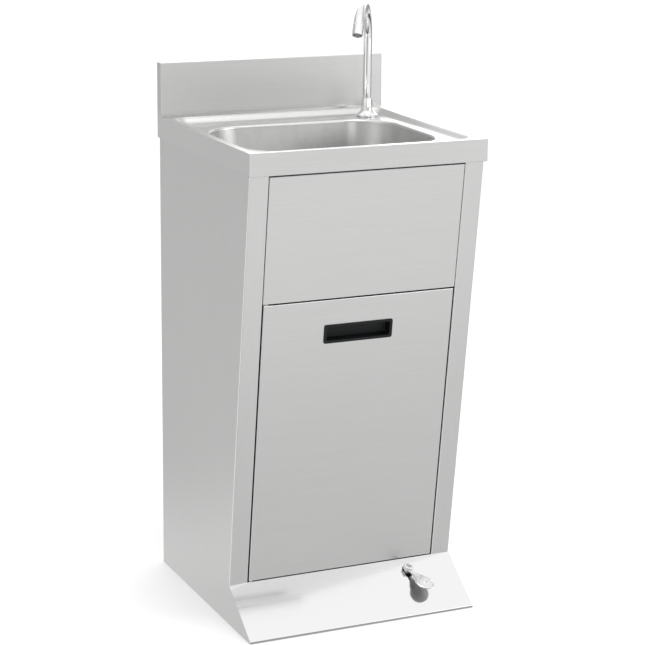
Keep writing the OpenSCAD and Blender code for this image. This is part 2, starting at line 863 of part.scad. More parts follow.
module pump_straps() {
    leg_x = barrel_d / 2 + 0.2;
    top = sheet + base_t;
    color("silver") crank_frame() for (y = strap_y) translate([0, y, 0]) difference() {
        union() {
            translate([0, 0, rod_z]) rotate([-90, 0, 0])
                cylinder(r = leg_x + strap_t, h = strap_w);
            span([-leg_x - strap_t, 0, top], [leg_x + strap_t, strap_w, rod_z]);
            span([-base_half, 0, top], [base_half, strap_w, top + strap_t]);
        }
        translate([0, -1, rod_z]) rotate([-90, 0, 0]) cylinder(r = leg_x, h = strap_w + 2);
        span([-leg_x, -1, 0], [leg_x, strap_w + 1, rod_z]);
        for (s = [-1, 1])
            translate([s * foot_screw_x, strap_w / 2, 0]) cylinder(d = 4.1, h = 8);
    }
}

module pump_screws() {
    top = sheet + base_t;
    color("silver") crank_frame() for (s = [-1, 1]) {
        for (y = foot_screw_y)
            translate([s * foot_screw_x, y, top]) pan_screw(5, top - 0.2, 9, 2.6);
        for (y = strap_y)
            translate([s * foot_screw_x, y + strap_w / 2, top + strap_t]) pan_screw(4, 3, 7, 2.2);
    }
}

module pump_barrel() {
    color("dimgray") crank_frame() translate([0, barrel_y[0], rod_z]) rotate([-90, 0, 0])
        difference() {
            cylinder(d = barrel_d, h = barrel_y[1] - barrel_y[0]);
            translate([0, 0, 4]) cylinder(d = barrel_bore, h = 60);
            translate([0, 0, -1]) cylinder(d = rod_d + 2 * fit_play, h = 10);
        }
}

// End cap with the inlet and outlet ports and their barbs
module pump_head() {
    color("dimgray") crank_frame() difference() {
        union() {
            translate([0, barrel_y[1], rod_z]) rotate([-90, 0, 0]) cylinder(d = barrel_d, h = head_t);
            for (s = [-1, 1]) translate([s * port_x, port_y, rod_z]) {
                cylinder(d = 12, h = 22);
                cylinder(d = barb_d, h = port_top - rod_z);
            }
        }
        for (s = [-1, 1]) {
            translate([s * port_x, port_y, rod_z]) cylinder(d = 5, h = port_top);
            translate([s * port_x, barrel_y[1] - 1, rod_z]) rotate([-90, 0, 0])
                cylinder(d = 5, h = head_t / 2 + 1);
        }
    }
}

module pump_piston() {
    color("white") crank_frame() difference() {
        union() {
            translate([0, piston_y, rod_z]) rotate([-90, 0, 0]) cylinder(d = 33, h = piston_t);
            translate([0, eye_half + 2, rod_z]) rotate([-90, 0, 0])
                cylinder(d = rod_d, h = piston_y - eye_half - 1);
            span([-3, -eye_half, rod_z - eye_half], [3, eye_half + 3, rod_z + eye_half]);
        }
        translate([0, piston_y + 4.5, rod_z]) rotate([-90, 0, 0]) tube(40, 29, 3);
        span([-5, -rod_pin_d / 2 - 0.2, rod_z - 3.6], [5, rod_pin_d / 2 + 0.2, rod_z + 3.6]);
    }
}

module piston_seal() {
    color("black") crank_frame() translate([0, piston_y + 4.6, rod_z]) rotate([-90, 0, 0])
        tube(barrel_bore - 2 * fit_play, 29, 2.8);
}

module rod_pin() {
    color("silver") crank_frame() translate([-fork_half - 1, 0, rod_z]) rotate([0, 90, 0])
        cylinder(d = rod_pin_d, h = 2 * fork_half + 2);
}

// Stem through the toe plate, its pivot boss, the fork for the pump rod and the spring lug
module pedal_stem() {
    color("silver") difference() {
        union() {
            lever_frame() {
                translate([0, 0, -stem_drop]) cylinder(d = stem_d, h = stem_drop + seat_w);
                translate([0, 0, seat_w - 1]) cylinder(d = 8, h = 5);
            }
            crank_frame() {
                translate([0, 0, pivot_z]) rotate([0, 90, 0])
                    cylinder(d = 14, h = 2 * ear_x - 1, center = true);
                span([-fork_half, -6, rod_z - 7], [fork_half, 6, pivot_z]);
                span([-6, 0, lug_z[0]], [6, 30, lug_z[1]]);
            }
        }
        crank_frame() {
            span([-3.5, -10, rod_z - 8], [3.5, 10, rod_z + 12]);
            translate([0, 0, rod_z]) rotate([0, 90, 0]) cylinder(d = rod_pin_d, h = 30, center = true);
            translate([0, 0, pivot_z]) rotate([0, 90, 0])
                cylinder(d = pivot_d + 2 * fit_play, h = 30, center = true);
        }
        lever_frame() translate([0, 0, -14]) cylinder(d = 4, h = 20);
    }
}

module pedal_pivot_pin() {
    half = ear_x + ear_t;
    color("silver") crank_frame() translate([-half - 2, 0, pivot_z]) rotate([0, 90, 0]) {
        cylinder(d = pivot_d, h = 2 * half + 4);
        cylinder(d = 9, h = 1.9);
    }
}

module pedal_spring() {
    color("silver") crank_frame() translate([0, spring_y, lug_z[1]])
        tube(spring_d, spring_d - 2.4, seat_z - lug_z[1]);
}

module pedal_lever() {
    hub_top = 5;
    color("silver") lever_frame() difference() {
        union() {
            translate([0, 0, seat_w]) cylinder(d1 = 13, d2 = 18, h = 8);
            translate([0, 0, 2]) cylinder(d = 18, h = hub_top - 2);
            hull() {
                translate([0, 0, -3]) cylinder(d = 13, h = 4, $fn = 32);
                translate([0, -26, -2]) cylinder(d = 10, h = 3, $fn = 32);
            }
            hull() {
                translate([0, -24, -2]) cylinder(d = 10, h = 3, $fn = 32);
                translate([0, -pedal_reach + 6, -2]) cylinder(d = 26, h = 3, $fn = 32);
            }
            translate([0, -pedal_reach, -2]) cylinder(d = pad_d, h = 4);
        }
        translate([0, 0, -2]) cylinder(d = 10.4, h = 10);
        translate([0, 0, seat_w - 1]) cylinder(d = 8, h = 10);
    }
}

module pedal_screw() {
    color("silver") lever_frame() translate([0, 0, -2]) pan_screw(4, 11, 9.6, 3.4);
}

// ---------- Spout ----------

module spout_base() {
    color("silver") tap_frame() difference() {
        union() {
            translate([0, 0, seal_t]) rotate_extrude() difference() {
                square([bell_r, bell_top - seal_t]);
                translate([bell_r + 4.5, bell_top + 2]) circle(14.8);
            }
            cylinder(d = shank_d, h = bell_top + 6);
            translate([0, 0, -shank_len]) cylinder(d = shank_d, h = shank_len + eps);
            translate([0, 0, -shank_len - 20]) cylinder(d = barb_d, h = 21);
        }
        translate([0, 0, 6]) cylinder(d = spout_d + 2 * fit_play, h = 40);
        translate([0, 0, 12]) cylinder(d = 18.6, h = 3);
        translate([0, 0, -shank_len - 21]) cylinder(d = 5, h = shank_len + 40);
    }
}

module spout_collar() {
    color("silver") tap_frame() translate([0, 0, bell_top]) difference() {
        cylinder(d1 = 24, d2 = 18.6, h = collar_top - bell_top);
        translate([0, 0, -1]) cylinder(d = shank_d + 0.2, h = 7.5);
        cylinder(d = spout_d + 0.6, h = 30);
    }
}

module base_seal() {
    color("dimgray") tap_frame() tube(38, shank_d + 1, seal_t);
}

module spout_seal() {
    color("black") tap_frame() translate([0, 0, 12.1])
        tube(18.5, spout_d + 2 * fit_play, 2.8);
}

// Solid along the spout. The straight ends lap into the bend, a hair off its diameter.
module swan_neck(bend_d, straight_d, foot, tail) {
    lap = 1;
    translate([0, 0, foot]) cylinder(d = straight_d, h = riser_h - foot + lap);
    translate([0, -bend_r, riser_h]) rotate([90, 0, 90])
        rotate_extrude(angle = bend_angle) translate([bend_r, 0]) circle(d = bend_d);
    mouth_shape() translate([0, 0, -lap]) cylinder(d = straight_d, h = tail + lap);
}

module spout() {
    color("silver") tap_frame() difference() {
        swan_neck(spout_d, spout_d - eps, 7, 12);
        swan_neck(tube_bore, tube_bore + eps, 6, 13);
    }
}

module outlet_sleeve() {
    color("silver") mouth_frame() translate([0, 0, 1]) difference() {
        cylinder(d = sleeve_d, h = sleeve_h - 1);
        translate([0, 0, -1]) cylinder(d = spout_d + 2 * fit_play, h = 40);
    }
}

module aerator() {
    color("dimgray") mouth_frame() translate([0, 0, sleeve_h - 8]) difference() {
        cylinder(d = spout_d + 2 * fit_play, h = 6);
        for (a = [0:60:300]) rotate([0, 0, a]) translate([5, 0, -1]) cylinder(d = 3, h = 8);
    }
}

module spout_washer() {
    color("silver") translate([tap_x, tap_y, deck_z - sheet - 3]) tube(36, shank_d + 1, 3);
}

module spout_nut() {
    color("gold") translate([tap_x, tap_y, deck_z - sheet - 12]) difference() {
        cylinder(d = 34, h = 9, $fn = 6);
        translate([0, 0, -1]) cylinder(d = shank_d, h = 11);
    }
}

worktop();
basin();
left_side_panel();
right_side_panel();
back_panel();
base_plate();
toe_plate();
upper_front_panel();
cross_rail();
door_skin();
door_liner();
door_handle();
door_bushes();
door_pivot_pins();
magnet_catch();
catch_striker();
catch_screws();
worktop_screws();
back_panel_screws();
waste_flange();
waste_gasket();
waste_body();
waste_screw();
waste_hose();
hose_clips();
waste_can();
waste_can_cap();
clean_can();
clean_can_cap();
dip_tube();
suction_hose();
pressure_hose();
hose_saddles();
pump_bracket();
pump_screws();
pump_barrel();
pump_head();
pump_straps();
pump_piston();
piston_seal();
rod_pin();
pedal_stem();
pedal_pivot_pin();
pedal_spring();
pedal_lever();
pedal_screw();
spout_base();
base_seal();
spout_collar();
spout();
spout_seal();
outlet_sleeve();
aerator();
spout_washer();
spout_nut();
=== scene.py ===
"""Portable foot-pump handwash sink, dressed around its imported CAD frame.

Shapes are drawn in millimetres, in the CAD frame: +X to the user's right, -Y towards the user, +Z up,
and piece() writes each mesh in metres.
"""

import json
import math

import bmesh
import bpy
from mathutils import Matrix, Vector


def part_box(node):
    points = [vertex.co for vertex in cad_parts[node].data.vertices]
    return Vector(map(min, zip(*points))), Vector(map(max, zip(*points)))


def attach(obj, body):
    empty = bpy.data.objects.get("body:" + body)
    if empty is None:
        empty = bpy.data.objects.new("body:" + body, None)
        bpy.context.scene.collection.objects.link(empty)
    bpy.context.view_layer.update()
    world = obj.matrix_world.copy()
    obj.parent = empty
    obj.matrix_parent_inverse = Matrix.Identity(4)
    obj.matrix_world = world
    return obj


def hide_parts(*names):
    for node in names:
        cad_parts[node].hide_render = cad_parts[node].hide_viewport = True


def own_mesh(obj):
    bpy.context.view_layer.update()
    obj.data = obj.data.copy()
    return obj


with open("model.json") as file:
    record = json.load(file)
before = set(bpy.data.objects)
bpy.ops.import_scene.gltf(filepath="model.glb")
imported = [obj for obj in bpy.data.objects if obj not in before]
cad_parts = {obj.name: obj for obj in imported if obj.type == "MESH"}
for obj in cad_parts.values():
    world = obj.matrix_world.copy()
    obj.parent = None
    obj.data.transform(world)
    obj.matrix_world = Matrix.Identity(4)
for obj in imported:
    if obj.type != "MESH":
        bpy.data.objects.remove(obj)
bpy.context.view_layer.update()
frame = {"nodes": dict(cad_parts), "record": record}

MM = 0.001


def node_box(node):
    """Lowest and highest corner of a CAD node, in millimetres."""
    low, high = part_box(node)
    return low / MM, high / MM


# ---------- Driving dimensions, from the frame ----------

SHEET = 1.2
FOLD_R = 1.6

# Worktop, with its raised rim and its pan; the basin hangs from the deck, the pan's flat
top_low, top_high = node_box("worktop")
HALF_W = top_high.x
FRONT_Y = top_low.y
REAR_Y = top_high.y
APRON_Z = top_low.z
SPLASH_Z = top_high.z
RIM_Z = APRON_Z + 40
SPLASH_Y = REAR_Y - 20
RIM_W = 13
RIM_SLOPE = 16
DECK_Z = node_box("basin")[1].z + SHEET
DRAIN_Z = node_box("waste_flange")[1].z - 2.5
BASIN_W, BASIN_D, BASIN_R = 366, 285, 75
BASIN_Y = FRONT_Y + 65 + BASIN_D / 2
BASIN_TAPER = 14
BASIN_FILLET = 34

# Cabinet: its front leans out from the knee, above the kick plate. A name in V is a height along it
side_low, side_high = node_box("left_side_panel")
SIDE_X = -side_low.x
SIDE_REAR = side_high.y
KNEE_Y, KNEE_Z = FRONT_Y + 102, 75
TOE_Y, TOE_LIP = FRONT_Y + 1, 4
FRONT_RUN = 94
LEAN = math.atan2(FRONT_RUN, APRON_Z - KNEE_Z)
FRONT_LEN = math.hypot(FRONT_RUN, APRON_Z - KNEE_Z)
STILE_W = 36
OPENING_X = SIDE_X - STILE_W
DOOR_X = OPENING_X - 2.5
DOOR_V = (1.5, 531.5)
PANEL_T = 18
PANEL_V = (534, FRONT_LEN - 3.6)
HANDLE_V = 468

# Tap: the spout's riser and its bend
TAP = Vector((170, 153, DECK_Z))
TUBE_R = 8
RISER_H = 146
BEND_R = 70
BEND = math.radians(146)
SPOUT_YAW = math.radians(-33.5)

# Pedal: the top of its stem, and its hub and pad
PEDAL = Vector((125, KNEE_Y - 25, 66))
PEDAL_YAW = math.radians(18)
PEDAL_PITCH = math.radians(20)
PEDAL_REACH = 47
HUB_R, PAD_R = 8.6, 18

# Cans, one each side of the middle
cap_low, cap_high = node_box("clean_can_cap")
CAN_X = (cap_low.x + cap_high.x) / 2
CAN_NECK_Y = 9
CAN_TOP = 291.2

# Frames that pieces are drawn in
DRAIN = Matrix.Translation((0, BASIN_Y, DRAIN_Z))
FRONT = Matrix.Translation((0, KNEE_Y, KNEE_Z)) @ Matrix.Rotation(LEAN, 4, "X")
TAP_FRAME = Matrix.Translation(TAP) @ Matrix.Rotation(SPOUT_YAW, 4, "Z")
MOUTH = (TAP_FRAME
         @ Matrix.Translation((0, BEND_R * (math.cos(BEND) - 1), RISER_H + BEND_R * math.sin(BEND)))
         @ Matrix.Rotation(BEND, 4, "X"))
LEVER = (Matrix.Translation(PEDAL) @ Matrix.Rotation(PEDAL_YAW, 4, "Z")
         @ Matrix.Rotation(PEDAL_PITCH, 4, "X"))
CRANK = (Matrix.Translation((PEDAL.x, PEDAL.y, 0)) @ Matrix.Rotation(PEDAL_YAW, 4, "Z")
         @ Matrix.Translation((0, 22 * math.sin(PEDAL_PITCH), 0)))


# ---------- Making pieces ----------

def mesh_object(name, bm, transform=None):
    """An object whose mesh is bm, drawn in millimetres, written in metres."""
    bmesh.ops.remove_doubles(bm, verts=bm.verts, dist=1e-4)
    bmesh.ops.recalc_face_normals(bm, faces=bm.faces)
    bm.transform(Matrix.Scale(MM, 4) @ (transform or Matrix.Identity(4)))
    mesh = bpy.data.meshes.new(name)
    bm.to_mesh(mesh)
    bm.free()
    obj = bpy.data.objects.new(name, mesh)
    bpy.context.scene.collection.objects.link(obj)
    return obj


def apply_modifiers(obj):
    """Writes the modified mesh into the object and clears its modifiers."""
    graph = bpy.context.evaluated_depsgraph_get()
    mesh = bpy.data.meshes.new_from_object(obj.evaluated_get(graph))
    obj.modifiers.clear()
    obj.data = mesh


def smooth_shade(obj, angle=35, by_area=True):
    """Smooth shading with sharp edges past angle. by_area keeps large flat faces flat beside their bends."""
    for polygon in obj.data.polygons:
        polygon.use_smooth = True
    obj.data.set_sharp_from_angle(angle=math.radians(angle))
    if by_area:
        normals = obj.modifiers.new("normals", "WEIGHTED_NORMAL")
        normals.keep_sharp = True
        apply_modifiers(obj)


def thicken(obj, wall, outward=None, even=False):
    """Turns an open skin into sheet metal, wall millimetres thick, behind its face.

    outward gives the direction that a face should look in, from its centre in metres."""
    if outward and sum(p.normal.dot(outward(p.center)) * p.area for p in obj.data.polygons) < 0:
        obj.data.flip_normals()
    solid = obj.modifiers.new("wall", "SOLIDIFY")
    solid.thickness = wall * MM
    solid.offset = -1
    solid.use_even_offset = even
    apply_modifiers(obj)


def dress(obj, body, slot, node=None, angle=35, finish=None):
    """Puts a mesh on its body, shaded and finished, in place of a CAD node where one is named."""
    smooth_shade(obj, angle)
    obj.data.materials.clear()
    obj.data.materials.append(FINISH[finish or slot])
    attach(obj, body)
    if node:
        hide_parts(node)
    return obj


def piece(name, bm, body, slot, node=None, transform=None, angle=35, finish=None):
    """One visible piece from its mesh in millimetres. finish is needed where it differs from the slot."""
    return dress(mesh_object(name, bm, transform), body, slot, node, angle, finish)


def carve(obj, cutter):
    """Cuts the cutter's solid out of obj. Both are objects; the cutter is deleted."""
    hole = obj.modifiers.new("hole", "BOOLEAN")
    hole.operation = "DIFFERENCE"
    hole.object = cutter
    hole.solver = "EXACT"
    apply_modifiers(obj)
    bpy.data.objects.remove(cutter)


def merge(bm, other):
    """Adds another mesh to bm, and frees it."""
    mesh = bpy.data.meshes.new("part")
    other.to_mesh(mesh)
    other.free()
    bm.from_mesh(mesh)
    bpy.data.meshes.remove(mesh)


# ---------- Shapes ----------

def ring_face(bm, loops):
    """Quads between neighbouring loops of the same number of vertices."""
    for low, high in zip(loops, loops[1:]):
        count = len(low)
        for i in range(count):
            j = (i + 1) % count
            bm.faces.new((low[i], low[j], high[j], high[i]))


def loft(bm, rings, start_cap=False, end_cap=False):
    """A skin through rings of points, each closed."""
    loops = [[bm.verts.new(p) for p in ring] for ring in rings]
    ring_face(bm, loops)
    if start_cap:
        bm.faces.new(list(reversed(loops[0])))
    if end_cap:
        bm.faces.new(loops[-1])
    return loops


def revolve(bm, profile, steps=64, ribs=0, rib_depth=0.0, closed=False):
    """Turns (radius, z) points about Z. ribs modulate the radius where a third value is 1."""
    rings = []
    for point in profile:
        radius, z = point[0], point[1]
        ribbed = len(point) > 2 and point[2]
        ring = []
        for i in range(steps):
            a = 2 * math.pi * i / steps
            r = radius - (rib_depth * (0.5 - 0.5 * math.cos(ribs * a)) if ribbed else 0)
            ring.append((r * math.cos(a), r * math.sin(a), z))
        rings.append(ring)
    if closed:
        rings.append(rings[0])
        return loft(bm, rings)
    return loft(bm, rings, start_cap=profile[0][0] > 0, end_cap=profile[-1][0] > 0)


def rounded_rect(w, d, r, z=0.0, middle=0.0, corner=10, side=4):
    """Points on a rounded rectangle, always the same number for the same corner and side counts."""
    r = max(min(r, w / 2 - 1e-3, d / 2 - 1e-3), 1e-3)
    points = []
    centres = [(w / 2 - r, -d / 2 + r, -90), (w / 2 - r, d / 2 - r, 0),
               (-w / 2 + r, d / 2 - r, 90), (-w / 2 + r, -d / 2 + r, 180)]
    arcs = [[(x + r * math.cos(math.radians(start + 90 * i / corner)),
              y + r * math.sin(math.radians(start + 90 * i / corner))) for i in range(corner + 1)]
            for x, y, start in centres]
    for arc, following in zip(arcs, arcs[1:] + arcs[:1]):
        (x0, y0), (x1, y1) = arc[-1], following[0]
        points += arc + [(x0 + (x1 - x0) * i / side, y0 + (y1 - y0) * i / side) for i in range(1, side)]
    return [(x, middle + y, z) for x, y in points]


def fillet(points, radii, steps=5):
    """A polyline, in the plane or in space, with its inner corners rounded by one radius each."""
    points = [Vector(p) for p in points]
    result = [points[0]]
    for before, corner, after, radius in zip(points, points[1:], points[2:], radii):
        u, v = (before - corner).normalized(), (after - corner).normalized()
        half = u.angle(v) / 2
        centre = corner + (u + v).normalized() * (radius / math.sin(half))
        first = corner + u * (radius / math.tan(half)) - centre
        last = corner + v * (radius / math.tan(half)) - centre
        total = first.angle(last)
        for i in range(steps + 1):
            t = i / steps
            arm = first * math.sin((1 - t) * total) + last * math.sin(t * total)
            result.append(centre + arm / math.sin(total))
    return result + [points[-1]]


def folded_outline(path, wall, radius):
    """Closed outline of a folded sheet: path is its outer face, the metal lies to the right of it."""
    path = [Vector(p) for p in path]
    inner = []
    for k, point in enumerate(path):
        normals = []
        if k > 0:
            d = (point - path[k - 1]).normalized()
            normals.append(Vector((d.y, -d.x)))
        if k < len(path) - 1:
            d = (path[k + 1] - point).normalized()
            normals.append(Vector((d.y, -d.x)))
        mean = sum(normals, Vector((0, 0))).normalized()
        inner.append(point + mean * (wall / mean.dot(normals[0])))
    outer_radii, inner_radii = [], []
    for k in range(1, len(path) - 1):
        a, b = path[k] - path[k - 1], path[k + 1] - path[k]
        right_turn = a.x * b.y - a.y * b.x < 0
        outer_radii.append(radius if right_turn else radius - wall)
        inner_radii.append(radius - wall if right_turn else radius)
    return fillet(path, outer_radii) + list(reversed(fillet(inner, inner_radii)))


def prism(bm, outline, axes, start, end):
    """Extrudes a plane outline. axes maps (u, v, along) to a point."""
    rings = [[axes(p[0], p[1], s) for p in outline] for s in (start, end)]
    return loft(bm, rings, start_cap=True, end_cap=True)


def cut_away(bm, point, normal):
    """Removes what lies on the normal's side of a plane and closes the cut."""
    geometry = list(bm.verts) + list(bm.edges) + list(bm.faces)
    cut = bmesh.ops.bisect_plane(bm, geom=geometry, dist=1e-5, plane_co=point, plane_no=normal,
                                 clear_outer=True)
    edges = [e for e in cut["geom_cut"] if isinstance(e, bmesh.types.BMEdge)]
    bmesh.ops.edgeloop_fill(bm, edges=edges)


def path_length(path):
    """Length of a polyline."""
    return sum((Vector(b) - Vector(a)).length for a, b in zip(path, path[1:]))


def sweep(bm, path, radius, sides=24, bore=0.0):
    """A round tube along path. radius is a number or a function of the distance along it."""
    path = [Vector(p) for p in path]
    lengths = [0.0]
    for a, b in zip(path, path[1:]):
        lengths.append(lengths[-1] + (b - a).length)
    heading = [(path[min(i + 1, len(path) - 1)] - path[max(i - 1, 0)]).normalized()
               for i in range(len(path))]
    side = heading[0].orthogonal().normalized()
    frames = []
    for h in heading:
        side = (side - h * side.dot(h)).normalized()
        frames.append((side.copy(), h.cross(side)))
    turns = [2 * math.pi * k / sides for k in range(sides)]

    def rings(size):
        return [[p + (u * math.cos(a) + v * math.sin(a)) * size(s) for a in turns]
                for p, (u, v), s in zip(path, frames, lengths)]

    outer = rings(radius if callable(radius) else (lambda s: radius))
    if bore:
        loft(bm, outer + rings(lambda s: bore)[::-1] + [outer[0]])
    else:
        loft(bm, outer, start_cap=True, end_cap=True)


def spline(points, steps):
    """Catmull-Rom curve through listed points, as in the CAD part."""
    p = [Vector(q) for q in points]
    result = []
    for i in range(len(p) - 1):
        a, b, c, d = p[max(i - 1, 0)], p[i], p[i + 1], p[min(i + 2, len(p) - 1)]
        for k in range(steps):
            t = k / steps
            result.append(0.5 * (2 * b + (c - a) * t + (2 * a - 5 * b + 4 * c - d) * t * t
                                 + (3 * b - a - 3 * c + d) * t ** 3))
    return result + [p[-1]]


def even_path(points, step):
    """The smooth route, with points a fixed step apart."""
    dense = spline(points, 40)
    result, travelled = [dense[0]], 0.0
    for a, b in zip(dense, dense[1:]):
        length = (b - a).length
        while travelled + length >= step:
            t = (step - travelled) / length
            a = a.lerp(b, t)
            result.append(a.copy())
            length, travelled = (b - a).length, 0.0
        travelled += length
    result.append(dense[-1])
    return result


def block(bm, low, high, bevel=0.0):
    """A box, with softened edges if bevel says so."""
    made = bmesh.ops.create_cube(bm, size=1)["verts"]
    low, high = Vector(low), Vector(high)
    for v in made:
        v.co = v.co * (high - low) + (high + low) / 2
    if bevel:
        edges = list({e for v in made for e in v.link_edges})
        bmesh.ops.bevel(bm, geom=edges, offset=bevel, segments=2, profile=0.5, affect="EDGES")


# ---------- Materials ----------

# The finishes by name: each Finish adds its own
FINISH = {}

# Noise scales that draw grain out along an axis
GRAIN = {"x": (12, 1500, 1500), "z": (1500, 1500, 12)}
STREAK = {"x": (5, 330, 330), "z": (330, 330, 5)}


class Nodes:
    """Short-hand for a node tree. Most methods add a node and give its output."""

    def __init__(self, tree):
        self.tree = tree

    def feed(self, socket, value):
        """Links an output to a socket, or sets the socket. A number can stand for a grey."""
        if isinstance(value, bpy.types.NodeSocket):
            self.tree.links.new(value, socket)
        elif socket.type == "RGBA":
            colour = (value,) * 3 if isinstance(value, (int, float)) else value[:3]
            socket.default_value = (*colour, 1)
        else:
            socket.default_value = value

    def add(self, kind, inputs=None, **settings):
        """Adds a node, with its settings and what goes into its sockets, and gives all its outputs."""
        node = self.tree.nodes.new("ShaderNode" + kind)
        for name, value in settings.items():
            setattr(node, name, value)
        for socket, value in (inputs or {}).items():
            self.feed(node.inputs[socket], value)
        return node.outputs

    def spread(self, value, low=0, high=1, start=0.3, end=0.7):
        """Low to high as value goes from start to end."""
        return self.add("MapRange", {"Value": value, "From Min": start, "From Max": end,
                                     "To Min": low, "To Max": high})["Result"]

    def math(self, operation, a, b=0):
        """One sum on numbers or outputs."""
        return self.add("Math", {0: a, 1: b}, operation=operation)["Value"]

    def blend(self, a, b, share):
        """Both values together, share of it from b."""
        return self.math("ADD", self.math("MULTIPLY", a, 1 - share), self.math("MULTIPLY", b, share))

    def mix(self, factor, a, b, how="MIX"):
        """Mixes two colours or greys."""
        return self.add("Mix", {"Factor": factor, 6: a, 7: b}, data_type="RGBA", blend_type=how)[2]

    def split(self, vector):
        """X, Y and Z of a vector."""
        return self.add("SeparateXYZ", {"Vector": vector})

    def azimuth(self, parts):
        """Direction round the sink as 0 to 1, from a vector's parts."""
        return self.spread(self.math("ARCTAN2", parts["Y"], parts["X"]), 0, 1, -math.pi, math.pi)

    def ramp(self, value, stops):
        """Smooth grey ramp. stops are (place, grey) pairs; greys above one stay as they are."""
        node = self.tree.nodes.new("ShaderNodeValToRGB")
        node.color_ramp.interpolation = "EASE"
        elements = node.color_ramp.elements
        while len(elements) < len(stops):
            elements.new(0.5)
        for element, (place, grey) in zip(elements, stops):
            element.position = place
            element.color = (grey, grey, grey, 1)
        self.feed(node.inputs[0], value)
        return node.outputs["Color"]


class Finish(Nodes):
    """A material with one shader, kept in FINISH under its name."""

    def __init__(self, name):
        material = bpy.data.materials.new(name)
        material.use_nodes = True
        super().__init__(material.node_tree)
        self.shader = self.tree.nodes["Principled BSDF"]
        self.coordinates = self.add("TexCoord")
        FINISH[name] = material

    def set(self, **values):
        """Sets or links the shader's sockets."""
        for name, value in values.items():
            self.feed(self.shader.inputs[name.replace("_", " ")], value)

    def noise(self, scale, detail, rough):
        """Noise in the piece's own frame. scale is a number or one for each axis."""
        scale = (scale,) * 3 if isinstance(scale, (int, float)) else scale
        place = self.add("Mapping", {"Vector": self.coordinates["Object"], "Scale": scale})["Vector"]
        return self.add("TexNoise", {"Vector": place, "Scale": 1, "Detail": detail,
                                     "Roughness": rough})["Fac"]

    def bump(self, height, strength, distance):
        """Relief from height, distance millimetres deep."""
        self.set(Normal=self.add("Bump", {"Strength": strength, "Distance": distance * MM,
                                          "Height": height})["Normal"])


def tint(colour, factor):
    """The colour, that many times brighter, up to white."""
    return tuple(min(1.0, c * factor) for c in colour)


def steel(name, colour, rough, grain="x", depth=0.12, contrast=0.035, blotch=0.015, splash=0.0,
          bend_highlight=1.0):
    """Satin stainless sheet: fine directional grain, faint longer streaks, handling marks.

    splash makes the sheet duller above the worktop rim, by that much roughness; the bend factor is how many
    times brighter the colour is painted on the rounded bends, a painted highlight."""
    m = Finish(name)
    fine = m.noise(GRAIN[grain], 4, 0.7)
    streak = m.noise(STREAK[grain], 3, 0.6)
    tone = m.blend(fine, streak, 0.35)
    sheet = m.mix(m.spread(tone, 0, 1, 0.35, 0.65), tint(colour, 1 - contrast), tint(colour, 1 + contrast))
    # Painted highlight: the colour is made brighter on rounded bends, where the normal lies between the axes.
    if bend_highlight > 1:
        x, y, z = (m.math("ABSOLUTE", part) for part in m.split(m.coordinates["Normal"]))
        squareness = m.math("MAXIMUM", m.math("MAXIMUM", x, y), z)
        sheet = m.mix(m.spread(squareness, 1, 0, 0.9, 0.97), sheet, tint(colour, bend_highlight))
    satin = m.spread(m.blend(fine, streak, 0.5), rough - 0.03, rough + 0.03, 0.35, 0.65)
    satin = m.math("ADD", satin, m.spread(m.noise(9, 3, 0.6), -blotch, blotch))
    if splash:
        height = m.split(m.coordinates["Object"])["Z"]
        satin = m.math("ADD", satin, m.spread(height, 0, splash, (RIM_Z + 2) * MM, (RIM_Z + 14) * MM))
    m.set(Base_Color=sheet, Roughness=satin, Metallic=1.0)
    m.bump(fine, depth, 0.01)


def pressed_steel(name, colour, rough):
    """Drawn basin: satin with a fine all-round grain and a slight speckle."""
    m = Finish(name)
    speckle = m.noise(900, 4, 0.75)
    tone = m.blend(speckle, m.noise((60, 60, 30), 3, 0.6), 0.25)
    m.set(Base_Color=m.mix(m.spread(tone, 0, 1, 0.35, 0.65), tint(colour, 0.93), tint(colour, 1.07)),
          Roughness=m.spread(tone, rough - 0.04, rough + 0.05), Metallic=1.0)
    m.bump(speckle, 0.1, 0.01)


def chrome(name):
    """Bright plate with faint polishing haze and water spots."""
    m = Finish(name)
    haze = m.noise(40, 4, 0.6)
    spots = m.noise(260, 2, 0.5)
    m.set(Base_Color=m.mix(m.spread(haze), (0.84, 0.845, 0.85), (0.9, 0.9, 0.905)),
          Roughness=m.math("ADD", m.spread(haze, 0.04, 0.09), m.spread(spots, 0, 0.05, 0.62, 0.72)),
          Metallic=1.0)
    m.bump(haze, 0.05, 0.05)


def machined(name, colour, rough, scale=500):
    """Turned or plated small metal: tool marks, tarnish in the low spots."""
    m = Finish(name)
    marks = m.noise((scale * 0.2, scale * 0.2, scale * 3), 3, 0.6)
    tarnish = m.noise(120, 4, 0.65)
    m.set(Base_Color=m.mix(m.spread(tarnish), tint(colour, 0.78), tint(colour, 1.08)),
          Roughness=m.spread(m.blend(marks, tarnish, 0.5), rough - 0.08, rough + 0.1), Metallic=1.0)
    m.bump(marks, 0.2, 0.03)


def cast_lever(name):
    """Lever: polished on top and round its rim, left as cast underneath, with painted shade darkening its
    underside.
    """
    m = Finish(name)
    # Painted shade: faces that look down get a darker base colour; the added roughness there is the cast
    # finish.
    cast_underside_shade = m.spread(m.split(m.coordinates["Normal"])["Z"], 1, 0, -0.75, -0.35)
    polish = m.spread(m.noise(60, 3, 0.6), 0.2, 0.28)
    m.set(Base_Color=m.mix(cast_underside_shade, (0.8, 0.8, 0.8), (0.42, 0.42, 0.425)),
          Roughness=m.math("ADD", polish, m.math("MULTIPLY", cast_underside_shade, 0.25)), Metallic=1.0)
    m.bump(m.noise(300, 3, 0.6), 0.1, 0.03)


